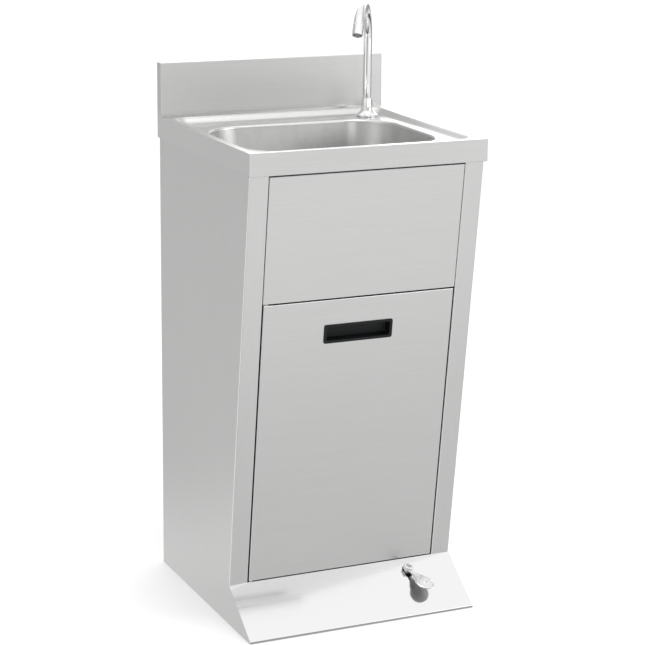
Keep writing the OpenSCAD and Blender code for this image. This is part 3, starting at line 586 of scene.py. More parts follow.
def plastic(name, colour, rough, texture=900, depth=0.3, variation=0.08, **extra):
    """Moulded plastic: a fine eroded texture, slight colour drift and scuffs."""
    m = Finish(name)
    pebble = m.noise(texture, 2, 0.6)
    drift = m.noise(14, 3, 0.6)
    scuff = m.noise((45, 220, 120), 3, 0.7)
    m.set(Base_Color=m.mix(m.spread(drift), tint(colour, 1 - variation), tint(colour, 1 + variation)),
          Roughness=m.math("ADD", m.spread(pebble, rough - 0.04, rough + 0.04),
                           m.spread(scuff, 0, 0.08, 0.55, 0.75)), **extra)
    m.bump(pebble, depth, 0.05)


def make_finishes():
    """Every finish on the sink. Most bear the name of a material slot."""
    # The bend factors paint highlights on the rounded bends of these sheets.
    steel("satin_steel", (0.68, 0.68, 0.675), 0.34, bend_highlight=1.4)
    steel("satin_upright", (0.68, 0.68, 0.675), 0.34, "z", bend_highlight=1.4)
    steel("worktop_steel", (0.67, 0.67, 0.665), 0.25, splash=0.2, bend_highlight=1.12)
    pressed_steel("basin_steel", (0.6, 0.6, 0.595), 0.29)
    steel("bright_steel", (0.86, 0.86, 0.86), 0.09, "x", 0.03, 0.01, 0.01)
    # Painted shade: a dark grey for the strip along the kick plate's hem, standing for its shadow line.
    steel("shaded_hem_steel", (0.42, 0.42, 0.42), 0.4)
    steel("inner_steel", (0.55, 0.56, 0.565), 0.42, "z", 0.2, 0.06, 0.05)
    chrome("chrome")
    cast_lever("cast_steel")
    machined("gauze", (0.34, 0.345, 0.35), 0.35, 300)
    machined("machined_steel", (0.58, 0.58, 0.59), 0.3)
    machined("zinc_fasteners", (0.70, 0.72, 0.74), 0.28)
    machined("spring_steel", (0.42, 0.43, 0.44), 0.35)
    machined("brass", (0.72, 0.55, 0.27), 0.3)
    plastic("black_plastic", (0.005, 0.006, 0.007), 0.45, 700, 0.3, 0.15, Specular_IOR_Level=0.3)
    plastic("bush_plastic", (0.80, 0.77, 0.68), 0.4)
    plastic("white_plastic", (0.82, 0.83, 0.83), 0.3, 500, 0.1)
    plastic("pump_plastic", (0.05, 0.055, 0.06), 0.42)
    plastic("rubber", (0.022, 0.022, 0.024), 0.62, 400, 0.5)
    plastic("waste_hose", (0.42, 0.43, 0.44), 0.38, 300, 0.15)
    plastic("water_hose", (0.78, 0.86, 0.86), 0.12, 200, 0.05, 0.03, Transmission_Weight=0.45, IOR=1.45)
    plastic("clean_can", (0.84, 0.86, 0.83), 0.42, 260, 0.25, 0.04, Subsurface_Weight=0.25,
            Subsurface_Radius=(0.008, 0.008, 0.007))
    plastic("waste_can", (0.36, 0.41, 0.45), 0.45, 260, 0.25)
    plastic("clean_cap", (0.06, 0.17, 0.48), 0.38, 400, 0.2)
    plastic("waste_cap", (0.03, 0.03, 0.033), 0.42, 400, 0.2)


def dress_frame():
    """Gives each CAD node that stays in view the finish of its material slot."""
    for part in frame["record"]["subparts"]:
        node = frame["nodes"][part["node"]]
        node.data.materials.clear()
        node.data.materials.append(FINISH[part["material_slot"]])
        smooth_shade(node, 30, by_area=False)


# ---------- Worktop and basin ----------

def pan_rings():
    """Outlines of the pressed pan: down from the rim, across the deck and over the basin's rolled lip."""
    front, rear = FRONT_Y + RIM_W, SPLASH_Y - 11
    middle, depth, width = (front + rear) / 2, rear - front, 2 * (HALF_W - RIM_W)
    lip = 5
    rings = [rounded_rect(width + 4, depth + 4, 30, RIM_Z, middle)]
    for t in (0.0, 0.06, 0.16, 0.3, 0.5, 0.7, 0.84, 0.94, 1.0):
        z = RIM_Z - (RIM_Z - DECK_Z) * t * t * (3 - 2 * t)
        run = RIM_SLOPE * t
        rings.append(rounded_rect(width - 2 * run, depth - 2 * run, 28 - 10 * t, z, middle))
    rings.append(rounded_rect(BASIN_W + 2 * lip + 3, BASIN_D + 2 * lip + 3, BASIN_R + lip, DECK_Z, BASIN_Y))
    for a in range(0, 91, 15):
        out = 2 * lip * (1 - math.sin(math.radians(a)))
        z = DECK_Z - lip * (1 - math.cos(math.radians(a)))
        rings.append(rounded_rect(BASIN_W + out, BASIN_D + out, BASIN_R + out / 2, z, BASIN_Y))
    return rings


def worktop():
    """Folded and pressed worktop: apron, hem, raised rim, sloped pan, deck and hollow splashback."""
    bm = bmesh.new()
    profile = [(FRONT_Y, APRON_Z), (FRONT_Y, RIM_Z), (SPLASH_Y, RIM_Z), (SPLASH_Y, SPLASH_Z),
               (REAR_Y, SPLASH_Z), (REAR_Y, APRON_Z)]
    loft(bm, [[(x, y, z) for y, z in profile] for x in (-HALF_W, HALF_W)], True, True)
    bmesh.ops.recalc_face_normals(bm, faces=bm.faces)
    foot = [f for f in bm.faces if f.normal.z < -0.9]
    hem = 12
    bmesh.ops.inset_region(bm, faces=foot, thickness=hem, use_even_offset=True)
    bmesh.ops.delete(bm, geom=foot, context="FACES")
    rim = [f for f in bm.faces if f.normal.z > 0.9 and abs(f.calc_center_median().z - RIM_Z) < 1]
    bmesh.ops.delete(bm, geom=rim, context="FACES_ONLY")
    bends = [e for e in bm.edges if len(e.link_faces) == 2 and e.calc_face_angle(0) > 0.5]
    bmesh.ops.bevel(bm, geom=bends, offset=FOLD_R, segments=3, profile=0.5, affect="EDGES",
                    clamp_overlap=True)
    rim_edges = [e for e in bm.edges if e.is_boundary
                 and all(abs(v.co.z - RIM_Z) < 0.01 for v in e.verts)]
    edge = loft(bm, pan_rings())[0]
    pan_edges = [bm.edges.get(pair) for pair in zip(edge, edge[1:] + edge[:1])]
    bmesh.ops.triangle_fill(bm, use_beauty=True, edges=rim_edges + pan_edges)
    sheet = mesh_object("worktop_sheet", bm)
    thicken(sheet, SHEET, even=True)
    dress(sheet, "cabinet", "satin_steel", "worktop", 28, "worktop_steel")


def basin():
    """Pressed basin with a draft, a generous floor radius and a dished floor that falls to the drain."""
    floor_z = DRAIN_Z + 5
    wall_top, wall_foot = DECK_Z - 6, floor_z + BASIN_FILLET
    foot = BASIN_TAPER + BASIN_FILLET

    def ring(inset, z):
        return rounded_rect(BASIN_W - 2 * inset, BASIN_D - 2 * inset, BASIN_R - inset * 0.6, z, BASIN_Y)

    rings = [ring(0, DECK_Z - 4.9)]
    for k in range(7):
        rings.append(ring(BASIN_TAPER * k / 6, wall_top + (wall_foot - wall_top) * k / 6))
    for a in range(10, 91, 10):
        rings.append(ring(BASIN_TAPER + BASIN_FILLET * (1 - math.cos(math.radians(a))),
                          floor_z + BASIN_FILLET * (1 - math.sin(math.radians(a)))))
    edge = Vector((BASIN_W - 2 * foot, BASIN_D - 2 * foot, BASIN_R - 0.6 * foot))
    for t in (0.2, 0.4, 0.6, 0.8, 1.0):
        rings.append(rounded_rect(*edge.lerp(Vector((84, 84, 42)), t), floor_z - 3.2 * t, BASIN_Y))
    for size, drop in ((82, 3.4), (80, 4.2), (78.6, 5.0), (50, 5.0)):
        rings.append(rounded_rect(size, size, size / 2, floor_z - drop, BASIN_Y))
    bm = bmesh.new()
    loft(bm, rings)
    pressing = mesh_object("basin_pressing", bm)
    inside = Vector((0, BASIN_Y, 800)) * MM
    thicken(pressing, SHEET, lambda centre: inside - centre)
    dress(pressing, "cabinet", "basin_steel", "basin", 50)


def waste_flange():
    """Polished strainer plate with a rolled edge and its throat, and the grid in it."""
    bm = bmesh.new()
    revolve(bm, [(21.5, -22), (24, -22), (24, 0.2), (38.6, 0.2), (39, 0.7), (38.4, 1.5), (36.8, 2.1),
                 (33, 2.5), (28, 2.3), (23, 1.6), (21.5, 1.3)], 96, closed=True)
    ring = piece("waste_flange_ring", bm, "cabinet", "chrome", "waste_flange", DRAIN, 40)
    bm = bmesh.new()
    revolve(bm, [(0.001, 0.3), (21.6, 0.3), (21.6, 1.4), (18, 1.6), (9, 1.5), (0.001, 1.5)])
    grid = mesh_object("waste_grid", bm, DRAIN)
    holes, hole_r, circle_r = 8, 3.5, 14
    for k in range(holes):
        a = 2 * math.pi * k / holes
        hole = bmesh.new()
        bmesh.ops.create_cone(hole, cap_ends=True, segments=24, radius1=hole_r, radius2=hole_r, depth=10)
        place = Matrix.Translation((circle_r * math.cos(a), circle_r * math.sin(a), 1))
        carve(grid, mesh_object("hole", hole, DRAIN @ place))
    grid.parent = ring
    dress(grid, "cabinet", "chrome", angle=30)


# ---------- Cabinet ----------

def side_panel(name, node, side):
    """Side sheet with its leaning stile, return and rear flange, bent with a radius. side is -1 or 1."""
    bm = bmesh.new()
    radius, hem, lap = 2.2, 18, 8
    rear = SIDE_REAR - 4
    stile = folded_outline([(-OPENING_X, hem), (-OPENING_X, 0), (-SIDE_X, 0), (-SIDE_X, lap)], SHEET, radius)
    prism(bm, stile, lambda x, y, z: (FRONT @ Vector((x, y, z))), 0, FRONT_LEN + 4)
    cut_away(bm, (0, 0, APRON_Z), (0, 0, 1))
    foot, head = (FRONT @ Vector((0, lap, z)) for z in (0, FRONT_LEN))
    top_y = foot.y + (head.y - foot.y) * (APRON_Z - foot.z) / (head.z - foot.z)
    outline = [(rear, SHEET), (TOE_Y + 1.4, SHEET), (TOE_Y + 1.4, TOE_LIP - 0.6),
               (KNEE_Y + 0.9, KNEE_Z - 1.6), (KNEE_Y + 0.2, KNEE_Z), (foot.y, foot.z), (top_y, APRON_Z),
               (rear, APRON_Z)]
    prism(bm, outline, lambda y, z, x: (x, y, z), -SIDE_X, -SIDE_X + SHEET)
    flange = folded_outline([(-SIDE_X, rear), (-SIDE_X, SIDE_REAR), (-SIDE_X + 20, SIDE_REAR)], SHEET, radius)
    prism(bm, flange, lambda x, y, z: (x, y, z), SHEET, APRON_Z)
    for z in (APRON_Z - SHEET, SHEET):
        block(bm, (-SIDE_X + SHEET, FRONT_Y + 35, z), (-SIDE_X + 22, rear + 2, z + SHEET))
    mirror = Matrix.Scale(-1, 4, (1, 0, 0)) if side > 0 else None
    piece(name, bm, "cabinet", "satin_steel", node, mirror, 30, "satin_upright")


def front_panel(name, node, low, high, wall, body, hole=None):
    """Folded panel in the front's own frame: a tray open at the back, perhaps with a hole in its face."""
    bm = bmesh.new()

    def corners(low, high, y):
        return [bm.verts.new((x, y, z)) for x, z in (low, (high[0], low[1]), high, (low[0], high[1]))]

    face, back = corners(low, high, 0), corners(low, high, PANEL_T)
    folds = []
    ring_face(bm, [face, back])
    if hole:
        ring_face(bm, [face, corners(*hole, 0)])
    else:
        bm.faces.new(face)
    for k in range(4):
        folds += [bm.edges.get((face[k], face[(k + 1) % 4])), bm.edges.get((face[k], back[k]))]
    bmesh.ops.recalc_face_normals(bm, faces=bm.faces)
    bmesh.ops.bevel(bm, geom=folds, offset=FOLD_R, segments=3, profile=0.5, affect="EDGES")
    sheet = mesh_object(name, bm, FRONT)
    middle = FRONT @ Vector(((low[0] + high[0]) / 2, PANEL_T, (low[1] + high[1]) / 2)) * MM
    thicken(sheet, wall, lambda centre: centre - middle)
    dress(sheet, body, "satin_steel", node, 30)


def toe_plate():
    """Bright kick plate: lip, slope and the sill under the door, slotted for the pedal stem."""
    end = (KNEE_Y + 26 * math.cos(LEAN), KNEE_Z + 26 * math.sin(LEAN))
    path = [(TOE_Y, SHEET), (TOE_Y, TOE_LIP), (KNEE_Y, KNEE_Z), end]
    end_w = 2.4
    bm = bmesh.new()
    # Painted shade: a thin dark strip on the foot of the lip stands for the shadow line along the hem.
    block(bm, (-SIDE_X, TOE_Y - 0.35, SHEET), (SIDE_X, TOE_Y + 0.4, TOE_LIP - 0.2), 0.15)
    piece("kick_plate_hem_shade", bm, "cabinet", "bright_steel", finish="shaded_hem_steel")
    bm = bmesh.new()
    prism(bm, folded_outline(path, SHEET, 2.0), lambda y, z, x: (x, y, z), -SIDE_X + end_w, SIDE_X - end_w)
    plate = mesh_object("kick_plate", bm)
    slot = bmesh.new()
    loft(slot, [rounded_rect(15, 21, 7.5, z, -6) for z in (35, 85)], True, True)
    carve(plate, mesh_object("slot", slot, CRANK))
    dress(plate, "cabinet", "bright_steel", "toe_plate", 25)
    for side, name in ((-1, "kick_plate_left_end"), (1, "kick_plate_right_end")):
        bm = bmesh.new()
        prism(bm, folded_outline(path[:3], SHEET, 2.0), lambda y, z, x: (side * x, y, z),
              SIDE_X - end_w, SIDE_X)
        piece(name, bm, "cabinet", "bright_steel", angle=25)


def back_panel():
    """Rear sheet with two shallow stiffening fields, screwed behind the side flanges."""
    bm = bmesh.new()
    edge, outer = SIDE_X - SHEET - 1, SIDE_REAR - SHEET
    low, high = 3 * SHEET, APRON_Z - 2 * SHEET
    slope, press, fold = 4, 2.2, 15
    xs = [-edge, -150, -150 + slope, 150 - slope, 150, edge]
    zs = [low]
    for foot, head in ((90, 404), (424, high - 70)):
        zs += [foot, foot + slope, head - slope, head]
    zs.append(high)

    def pressed(i, k):
        return press if i in (2, 3) and k % 4 in (2, 3) else 0

    def folded(row):
        return [bm.verts.new((v.co.x, outer - fold, v.co.z)) for v in row]

    rows = [[bm.verts.new((x, outer - pressed(i, k), z)) for i, x in enumerate(xs)] for k, z in enumerate(zs)]
    rows = [folded(rows[0])] + rows + [folded(rows[-1])]
    for cast_underside_shade, above in zip(rows, rows[1:]):
        for i in range(len(xs) - 1):
            bm.faces.new((cast_underside_shade[i], cast_underside_shade[i + 1], above[i + 1], above[i]))
    sheet = mesh_object("rear_sheet", bm)
    thicken(sheet, SHEET, lambda centre: Vector((0, 1, 0)))
    dress(sheet, "cabinet", "inner_steel", "back_panel", 30)


# ---------- Door ----------

def door():
    """Door skin and its recessed pull: a rolled rim round a cup with sloping walls."""
    half_w, half_h = 62.3, 14.1
    front_panel("door_face", "door_skin", (-DOOR_X, DOOR_V[0]), (DOOR_X, DOOR_V[1]), 1.0, "door",
                ((-half_w, HANDLE_V - half_h), (half_w, HANDLE_V + half_h)))

    def rings(outline):
        return [[(x, depth, z) for x, z, _ in rounded_rect(w, h, r, corner=6, side=6)]
                for w, h, r, depth in outline]

    bm = bmesh.new()
    cup = loft(bm, rings([(133, 35, 4, 0), (133, 35, 4, -0.9), (132.4, 34.4, 3.7, -1.3),
                          (131.6, 33.6, 3.4, -1.5), (123.4, 26.6, 3.2, -1.5), (122.4, 25.6, 2.8, -1.1),
                          (122.0, 25.2, 2.6, -0.4), (120.4, 23.6, 2.6, 9.5), (119.4, 22.6, 2.6, 12.4),
                          (117.6, 20.8, 2.2, 13.5), (114.0, 17.2, 2.0, 13.8)]), end_cap=True)
    shell = loft(bm, rings([(124, 27.6, 2.8, 0), (124, 27.6, 2.8, 15.0), (123, 26.6, 2.4, 15.5)]),
                 end_cap=True)
    ring_face(bm, [cup[0], shell[0]])
    piece("recessed_pull", bm, "door", "black_plastic", "door_handle",
          FRONT @ Matrix.Translation((0, 0, HANDLE_V)), 40)


# ---------- Pedal ----------

def lever_ring(s):
    """Outline of the foot lever's section, s millimetres from its pivot towards the user."""
    hub_w = math.sqrt(max(HUB_R ** 2 - s ** 2, 0)) if s < HUB_R else 0
    pad_w = math.sqrt(max(PAD_R ** 2 - (s - PEDAL_REACH) ** 2, 0)) if s > PEDAL_REACH - PAD_R else 0
    flare = 4.6 + 6.5 * max(0, 1 - abs(s - (PEDAL_REACH - PAD_R)) / 16) ** 2
    arm = flare if 0 < s < PEDAL_REACH else 0
    width = max((hub_w ** 4 + pad_w ** 4 + arm ** 4) ** 0.25, 0.02)
    on_pad = max(0.0, min(1.0, (s - 20) / 12))
    tip = min(1.0, width / 1.2)
    top, base = (1.0 + 1.0 * on_pad) * tip, (-3.4 + 1.6 * on_pad) * tip
    mid, half = (top + base) / 2, (top - base) / 2
    ring = []
    sides = 28
    for k in range(sides):
        c, d = math.cos(2 * math.pi * k / sides), math.sin(2 * math.pi * k / sides)
        x = width * math.copysign(abs(c) ** 0.55, c)
        z = mid + half * math.copysign(abs(d) ** 0.6, d)
        if d > 0 and on_pad > 0:
            z += 1.1 * on_pad * (1 - min(1, ((s - PEDAL_REACH) ** 2 + x * x) / PAD_R ** 2))
        ring.append((x, -s, z))
    return ring


def pedal():
    """Foot lever: a turned hub on the stem, a waisted arm and a dished oval pad."""
    bm = bmesh.new()
    start, end = -HUB_R, PEDAL_REACH + PAD_R
    slices = 72
    loft(bm, [lever_ring(start + (end - start) * (0.5 - 0.5 * math.cos(math.pi * i / slices)))
              for i in range(slices + 1)], True, True)
    hub = [(4.0, -6), (6.3, -6), (6.7, -5.6), (7.3, -3.2), (7.0, -2.6), (7.6, -2.0), (8.7, 1.6), (9.0, 2.2),
           (9.0, 4.1), (8.7, 4.7), (8.1, 5.0), (6.0, 5.0), (5.4, 4.7), (5.2, 4.2), (5.2, -2.0), (4.0, -2.0)]
    revolve(bm, hub, 48, closed=True)
    boss = bmesh.new()
    revolve(boss, [(0.001, 2.2), (4.4, 2.2), (4.4, 3.1), (3.9, 3.35), (2.6, 3.0), (0.001, 2.9)], 32)
    boss.transform(Matrix.Translation((0, -PEDAL_REACH, 0.25)))
    merge(bm, boss)
    piece("foot_lever", bm, "pedal", "cast_steel", "pedal_lever", LEVER, 38)


def pedal_spring():
    """Coil return spring, ground flat on its seats."""
    low, high = node_box("pedal_spring")
    centre = (low + high) / 2
    turns, wire = 3.5, 0.6
    radius = 5 - wire
    path = []
    count = int(turns * 24)
    for i in range(count + 1):
        t = i / count
        a = 2 * math.pi * turns * t
        flat = min(1, max(0, (t * turns - 0.75) / (turns - 1.5)))
        z = low.z + wire + (high.z - low.z - 2 * wire) * (0.06 * t + 0.94 * flat)
        path.append((centre.x + radius * math.cos(a), centre.y + radius * math.sin(a), z))
    bm = bmesh.new()
    sweep(bm, path, wire, 10)
    spring = piece("return_spring", bm, "cabinet", "spring_steel", "pedal_spring")
    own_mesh(spring)


# ---------- Tap ----------

def tap_base():
    """Flared spout base on its threaded shank with a hose barb, and the conical collar on top."""
    bell = [(10.2, 1.5), (19.3, 1.5), (19.3, 0.25), (20.1, 0.15), (20.5, 0.5), (20.5, 3.6)]
    for z in (4.2, 5, 6, 7.2, 8.6, 10, 11.6, 13.2, 14.6):
        bell.append((25 - math.sqrt(14.8 ** 2 - (z - 18) ** 2), z))
    bell += [(10.6, 15.4), (10.2, 16.0), (10.0, 22.0), (8.2, 22.0), (8.2, 1.5)]
    bm = bmesh.new()
    revolve(bm, bell, 72, closed=True)
    shank = [(2.5, 1.4), (2.5, -75), (3.6, -75)]
    for z in (-74, -69, -64):
        shank += [(4.0, z), (3.4, z + 4)]
    shank += [(4.2, -59), (4.2, -56), (10.0, -55)]
    shank += [(10.0 - (0.45 if k % 2 else 0), -54.4 + k * 0.8) for k in range(66)]
    revolve(bm, shank + [(10.0, 1.4)], 48, closed=True)
    piece("spout_bell", bm, "cabinet", "chrome", "spout_base", TAP_FRAME, 40)
    bm = bmesh.new()
    revolve(bm, [(10.3, 16.2), (11.6, 16.2), (12.0, 16.6), (12.0, 17.6), (11.4, 18.2), (11.5, 18.8),
                 (9.6, 33.0), (9.3, 34.1), (8.8, 34.5), (8.3, 34.5), (8.3, 22.4), (10.3, 22.4)],
            72, closed=True)
    piece("spout_ferrule", bm, "cabinet", "chrome", "spout_collar", TAP_FRAME, 40)


def spout():
    """Swan neck that grows thicker towards its mouth, and the sleeve screwed to it."""
    path = [(0, 0, z) for z in (7, 20, 35, 60, 90, 120)]
    path += [(0, BEND_R * (math.cos(a) - 1), RISER_H + BEND_R * math.sin(a))
             for a in (BEND * i / 60 for i in range(61))]
    bend_start, bend_len = RISER_H - 7, BEND_R * BEND

    def radius(s):
        t = max(0.0, min(1.0, (s - bend_start - bend_len * 0.62) / (bend_len * 0.38)))
        return TUBE_R + 1.75 * t * t * (3 - 2 * t)

    bm = bmesh.new()
    sweep(bm, path, radius, 40, bore=6.5)
    neck = piece("swan_neck", bm, "spout", "chrome", "spout", TAP_FRAME, 40)
    neck.visible_glossy = False
    bm = bmesh.new()
    revolve(bm, [(8.1, -0.6), (9.3, -0.6), (9.8, -0.3), (10.0, 0.4), (10.0, 19.6), (9.8, 20.6), (9.3, 21.0),
                 (8.6, 21.0), (8.25, 20.6), (8.1, 20.0)], 72, closed=True)
    piece("outlet_ring", bm, "outlet", "chrome", "outlet_sleeve", MOUTH @ Matrix.Translation((0, 0, 1)), 40)


def aerator():
    """Flow straightener in the outlet: an insert with five rings."""
    low, high = 13.2, 19.8
    rings = [(0.001, low), (8.0, low), (8.0, high - 0.4), (7.7, high), (6.9, high), (6.7, high - 0.5)]
    for k in range(5):
        r = 6.2 - 1.3 * k
        rings += [(r + 0.35, high - 0.5), (r + 0.15, high - 0.15), (r - 0.15, high - 0.15),
                  (r - 0.35, high - 0.5)]
    bm = bmesh.new()
    revolve(bm, rings + [(0.001, high - 0.4)], 48)
    piece("aerator_insert", bm, "outlet", "black_plastic", "aerator", MOUTH, 40, "gauze")


# ---------- Water cans and hoses ----------

WASTE_ROUTE = [(0, -17.5, 660), (0, -17.5, 625), (-10, -16, 580), (-36, -10, 520), (-74, 0, 460),
               (-100, 7, 400), (-110, 9, 350), (-110, 9, 270)]
SUCTION_ROUTE = [(110, 9, 332), (110, 9, 357), (110, -5, 392), (110, -40, 406), (110, -75, 392),
                 (109, -89, 357), (108, -92, 290), (108, -84, 190), (107.5, -66, 110), (107.5, -58.5, 72),
                 (107.5, -58.5, 50)]
PRESSURE_ROUTE = [(86.6, -65.3, 50), (86.6, -65.3, 76), (72, -63, 110), (38, -50, 134), (10, -14, 142),
                  (0, 50, 145), (0, 110, 148), (0, 157, 155), (14, 191, 168), (50, 204, 196), (100, 205, 255),
                  (143, 205, 330), (166, 205, 430), (170, 205, 540), (170, 205, 640), (170, 201, 672),
                  (170, 179, 712), (170, 157, 752), (170, 153, 785), (170, 153, 808)]


def can_shell(bm):
    """Ribbed body and domed shoulders of a can."""
    width, depth, height = 176, 220, CAN_TOP - SHEET
    middle = CAN_NECK_Y - 45 + depth / 2
    floor = SHEET
    rings = []

    def add(inset, r, z):
        rings.append(rounded_rect(width - 2 * inset, depth - 2 * inset, max(r - inset, 4), z, middle, 8, 6))

    add(34, 40, floor + 4)
    add(26, 34, floor + 4)
    add(22, 30, floor)
    for a in range(0, 91, 15):
        r = math.radians(a)
        add(16 * (1 - math.sin(r)), 24, floor + 16 * (1 - math.cos(r)))
    body_low, body_high = floor + 22, floor + height - 40
    ribs = 5
    pitch = (body_high - body_low) / ribs
    for k in range(ribs):
        for t, inset in ((0.06, 0.1), (0.14, 0.9), (0.2, 2.4), (0.26, 3.0), (0.34, 3.0), (0.4, 2.4),
                         (0.46, 0.9), (0.54, 0.1), (0.8, 0.0)):
            add(inset, 24, body_low + (k + t) * pitch)
    add(0, 24, body_high)
    for a in range(0, 91, 10):
        r = math.radians(a)
        add(30 * (1 - math.cos(r)), 26, floor + height - 30 + 26 * math.sin(r))
    for t in (0.3, 0.6, 0.85, 1.0):
        add(30 + 42 * t, 30 + 60 * t, floor + height - 4 + 4 * math.sin(t * math.pi / 2))
    loft(bm, rings, True, True)


def can(name, node, x):
    """Blow-moulded can: shell, threaded neck and a moulded grip. Its slot has its node's name."""
    bm = bmesh.new()
    can_shell(bm)
    thread = [(23.0, -9), (26.5, -8), (27, -1), (27.4, 2), (26, 4.5)]
    for z in (8, 14, 20):
        thread += [(25.2, z), (26.0, z + 0.8), (26.0, z + 1.8), (25.2, z + 2.6)]
    thread += [(25.4, 27.4), (24.8, 28), (23.4, 28), (23.0, 27.6)]
    neck = bmesh.new()
    revolve(neck, thread, closed=True)
    neck.transform(Matrix.Translation((0, CAN_NECK_Y, CAN_TOP)))
    merge(bm, neck)
    front, rear, foot, top = 56, 154, CAN_TOP - 8, CAN_TOP + 38
    path = fillet([(0, front, foot), (0, front, top), (0, rear, top), (0, rear, foot)], (16, 16), 8)
    total = path_length(path)
    grip = bmesh.new()
    sweep(grip, path, lambda s: 9.6 + 3.4 * (max(0, 1 - s / 16) + max(0, 1 - (total - s) / 16)))
    merge(bm, grip)
    piece(name, bm, "cabinet", node, node, Matrix.Translation((x, 0, 0)), 50)


def cap(name, node, body, x, hole):
    """Screw cap with a knurled skirt and a hole for its hose. Its slot has its body's name."""
    low, high = CAN_TOP + 8, CAN_TOP + 33
    profile = [(26.3, low, 0), (31.0, low, 0), (31.7, low + 0.6, 0), (32.0, low + 2.0, 1), (32.0, low + 4, 1),
               (32.0, high - 5, 1), (31.8, high - 2.4, 0), (30.8, high - 0.8, 0), (29.2, high, 0)]
    r = hole / 2
    if hole > 34:
        profile += [(22.0, high, 0), (r + 0.6, high, 0), (r, high - 0.6, 0)]
    else:
        profile += [(20.0, high, 0), (19.4, high - 0.6, 0), (r + 1.4, high - 0.6, 0),
                    (r + 0.4, high - 0.9, 0), (r, high - 1.4, 0)]
    profile += [(r, high - 2.7, 0), (26.3, high - 2.7, 0)]
    bm = bmesh.new()
    revolve(bm, profile, 240, ribs=40, rib_depth=1.1, closed=True)
    piece(name, bm, body, body, node, Matrix.Translation((x, CAN_NECK_Y, 0)), 40)


def hoses():
    """Corrugated waste hose with plain cuffs, and the two clear water hoses."""
    pitch, cuff, end = 5.0, 34, 20
    path = even_path(WASTE_ROUTE, pitch / 4)
    total = path_length(path)

    def corrugated(s):
        if s < cuff or s > total - end:
            return 17.6
        return 16.9 + 1.05 * math.sin(2 * math.pi * (s - cuff) / pitch)

    bm = bmesh.new()
    sweep(bm, path, corrugated, 28)
    piece("waste_pipe", bm, "cabinet", "waste_hose", "waste_hose", angle=70)
    for name, node, route in (("suction_tube", "suction_hose", SUCTION_ROUTE),
                              ("pressure_tube", "pressure_hose", PRESSURE_ROUTE)):
        bm = bmesh.new()
        sweep(bm, even_path(route, 5), 5.95, bore=4.1)
        piece(name, bm, "cabinet", "water_hose", node, angle=60)


# ---------- Studio ----------

def camera():
    """Long lens in front, to the left and a little above the sink, fitted to the cabinet's straight edges."""
    data = bpy.data.cameras.new("camera")
    data.lens, data.sensor_width = 115.38, 36
    data.clip_start, data.clip_end = 0.05, 60
    obj = bpy.data.objects.new("camera", data)
    forward = Vector((0.4012, 0.8819, -0.2476)).normalized()
    level = forward.cross(Vector((0, 0, 1))).normalized()
    upright = level.cross(forward)
    roll = math.radians(0.61)
    right = level * math.cos(roll) + upright * math.sin(roll)
    up = upright * math.cos(roll) - level * math.sin(roll)
    obj.matrix_world = Matrix.Translation((-1.5157, -3.3602, 1.4543)) @ Matrix(
        (right, up, -forward)).transposed().to_4x4()
    bpy.context.scene.collection.objects.link(obj)
    bpy.context.scene.camera = obj


def area_light(name, place, target, size, power):
    """Rectangular lamp at place that looks at target; metres and watts."""
    data = bpy.data.lights.new(name, "AREA")
    data.shape = "RECTANGLE"
    data.size, data.size_y = size
    data.energy = power
    obj = bpy.data.objects.new(name, data)
    obj.location = place
    obj.rotation_euler = (Vector(target) - Vector(place)).to_track_quat("-Z", "Y").to_euler()
    bpy.context.scene.collection.objects.link(obj)


def ground(name, height):
    """A wide flat sheet under the sink, outside the model."""
    bm = bmesh.new()
    bmesh.ops.create_grid(bm, x_segments=2, y_segments=2, size=14000)
    sheet = mesh_object(name, bm, Matrix.Translation((0, 0, height)))
    return sheet


def reflector():
    """Studio flags on the floor: only reflections see them, and they give the metal its bands."""
    material = bpy.data.materials.new("floor_flags")
    material.use_nodes = True
    material.cycles.emission_sampling = "NONE"
    flags = Nodes(material.node_tree)
    flags.tree.nodes.clear()
    place = flags.add("TexCoord")["Object"]
    parts = flags.split(place)
    around = flags.ramp(flags.azimuth(parts),
                        [(0.0, 1.05), (0.06, 1.25), (0.085, 1.0), (0.10, 0.15), (0.15, 0.2), (0.175, 0.9),
                         (0.27, 0.96), (0.34, 0.96), (0.39, 0.92), (0.47, 0.8), (0.49, 0.1), (0.54, 0.12),
                         (0.56, 0.9), (0.62, 0.35), (0.72, 0.35), (0.78, 0.67), (0.87, 0.67), (0.93, 1.0)])
    reach = flags.add("VectorMath", {0: place}, operation="LENGTH")["Value"]
    around = flags.mix(flags.spread(reach, 0, 1, 0.9, 0.4), around, 0.88)
    # Painted shade: the flags dim in a band in front of the sink, so the fronts reflect a darker floor
    # towards their foot.
    depth = flags.ramp(flags.spread(parts["Y"], 0, 1, -1.25, 0.75),
                       [(0.0, 0.98), (0.05, 0.94), (0.13, 0.8), (0.3, 0.81), (0.47, 0.83), (0.6, 0.88),
                        (0.75, 0.95), (1.0, 1.0)])
    glow = flags.add("Emission", {"Color": flags.mix(1, around, depth, "MULTIPLY")})["Emission"]
    flags.add("OutputMaterial", {"Surface": glow})
    card = ground("floor_flags", 0.5)
    card.data.materials.append(material)
    card.visible_camera = card.visible_diffuse = card.visible_shadow = card.visible_transmission = False


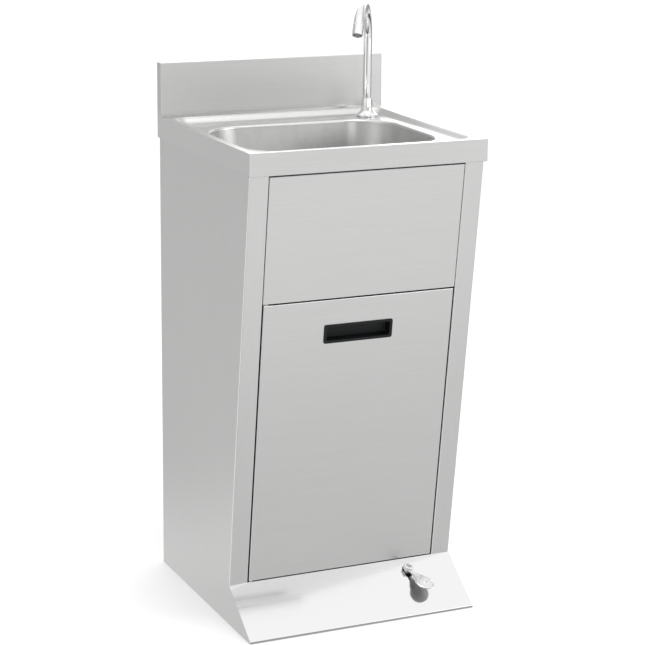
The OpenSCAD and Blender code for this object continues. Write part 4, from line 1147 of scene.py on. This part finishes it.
def surround():
    """Bright world with a few darker bands that give the metal its streaks; the camera sees plain white."""
    world = bpy.data.worlds.new("studio")
    bpy.context.scene.world = world
    world.use_nodes = True
    sky = Nodes(world.node_tree)
    parts = sky.split(sky.add("TexCoord")["Generated"])
    bands = sky.ramp(sky.azimuth(parts),
                     [(0.0, 0.9), (0.08, 1.0), (0.14, 0.8), (0.18, 0.75), (0.25, 0.45), (0.3, 0.5),
                      (0.36, 1.2), (0.43, 1.4), (0.47, 0.8), (0.49, 0.6), (0.55, 0.65), (0.57, 0.9),
                      (0.64, 2.5), (0.72, 2.6), (0.79, 0.6), (0.9, 0.5), (0.97, 0.7)])
    above = sky.mix(sky.spread(parts["Z"], 0, 1, 0.35, 0.8), bands, 1.05)
    rise = sky.ramp(parts["Z"], [(0.0, 0.5), (0.05, 0.7), (0.12, 1.0), (0.36, 1.0), (0.45, 0.72),
                                 (0.58, 0.72), (0.72, 1.0)])
    above = sky.mix(1, above, rise, "MULTIPLY")
    seen = sky.mix(sky.add("LightPath")["Is Camera Ray"], above, 1.0)
    sky.feed(sky.tree.nodes["Background"].inputs["Color"], seen)


def studio():
    """Pale floor, surround, flags and soft lights."""
    plastic("studio_floor", (0.97, 0.97, 0.97), 0.8, 60, 0.02, 0.005,
            Emission_Color=(1, 1, 1), Emission_Strength=0.12)
    ground("floor", 0).data.materials.append(FINISH["studio_floor"])
    surround()
    reflector()
    area_light("overhead", (0.05, -0.9, 3.2), (0.1, -0.1, 0.3), (1.2, 1.2), 15)
    area_light("front_strip", (0.1, -3.0, 1.1), (0, 0, 0.8), (1.2, 0.8), 4)
    area_light("splash_glow", (0.95, -0.95, 1.2), (0.15, 0.2, 0.93), (0.8, 0.8), 1.3)
    area_light("right_soft", (2.6, -2.4, 2.2), (0, 0, 0.6), (1.6, 2.2), 9)
    bpy.context.scene.view_settings.view_transform = "Standard"


# ---------- Assembly ----------

make_finishes()
camera()
studio()
dress_frame()
worktop()
basin()
waste_flange()
side_panel("left_side_sheet", "left_side_panel", -1)
side_panel("right_side_sheet", "right_side_panel", 1)
front_panel("upper_front_sheet", "upper_front_panel", (-OPENING_X + 1, PANEL_V[0]),
            (OPENING_X - 1, PANEL_V[1]), SHEET, "cabinet")
toe_plate()
back_panel()
door()
pedal()
pedal_spring()
tap_base()
spout()
aerator()
can("clean_water_can", "clean_can", CAN_X)
can("waste_water_can", "waste_can", -CAN_X)
cap("clean_water_cap", "clean_can_cap", "clean_cap", CAN_X, 14.4)
cap("waste_water_cap", "waste_can_cap", "waste_cap", -CAN_X, 38)
hoses()
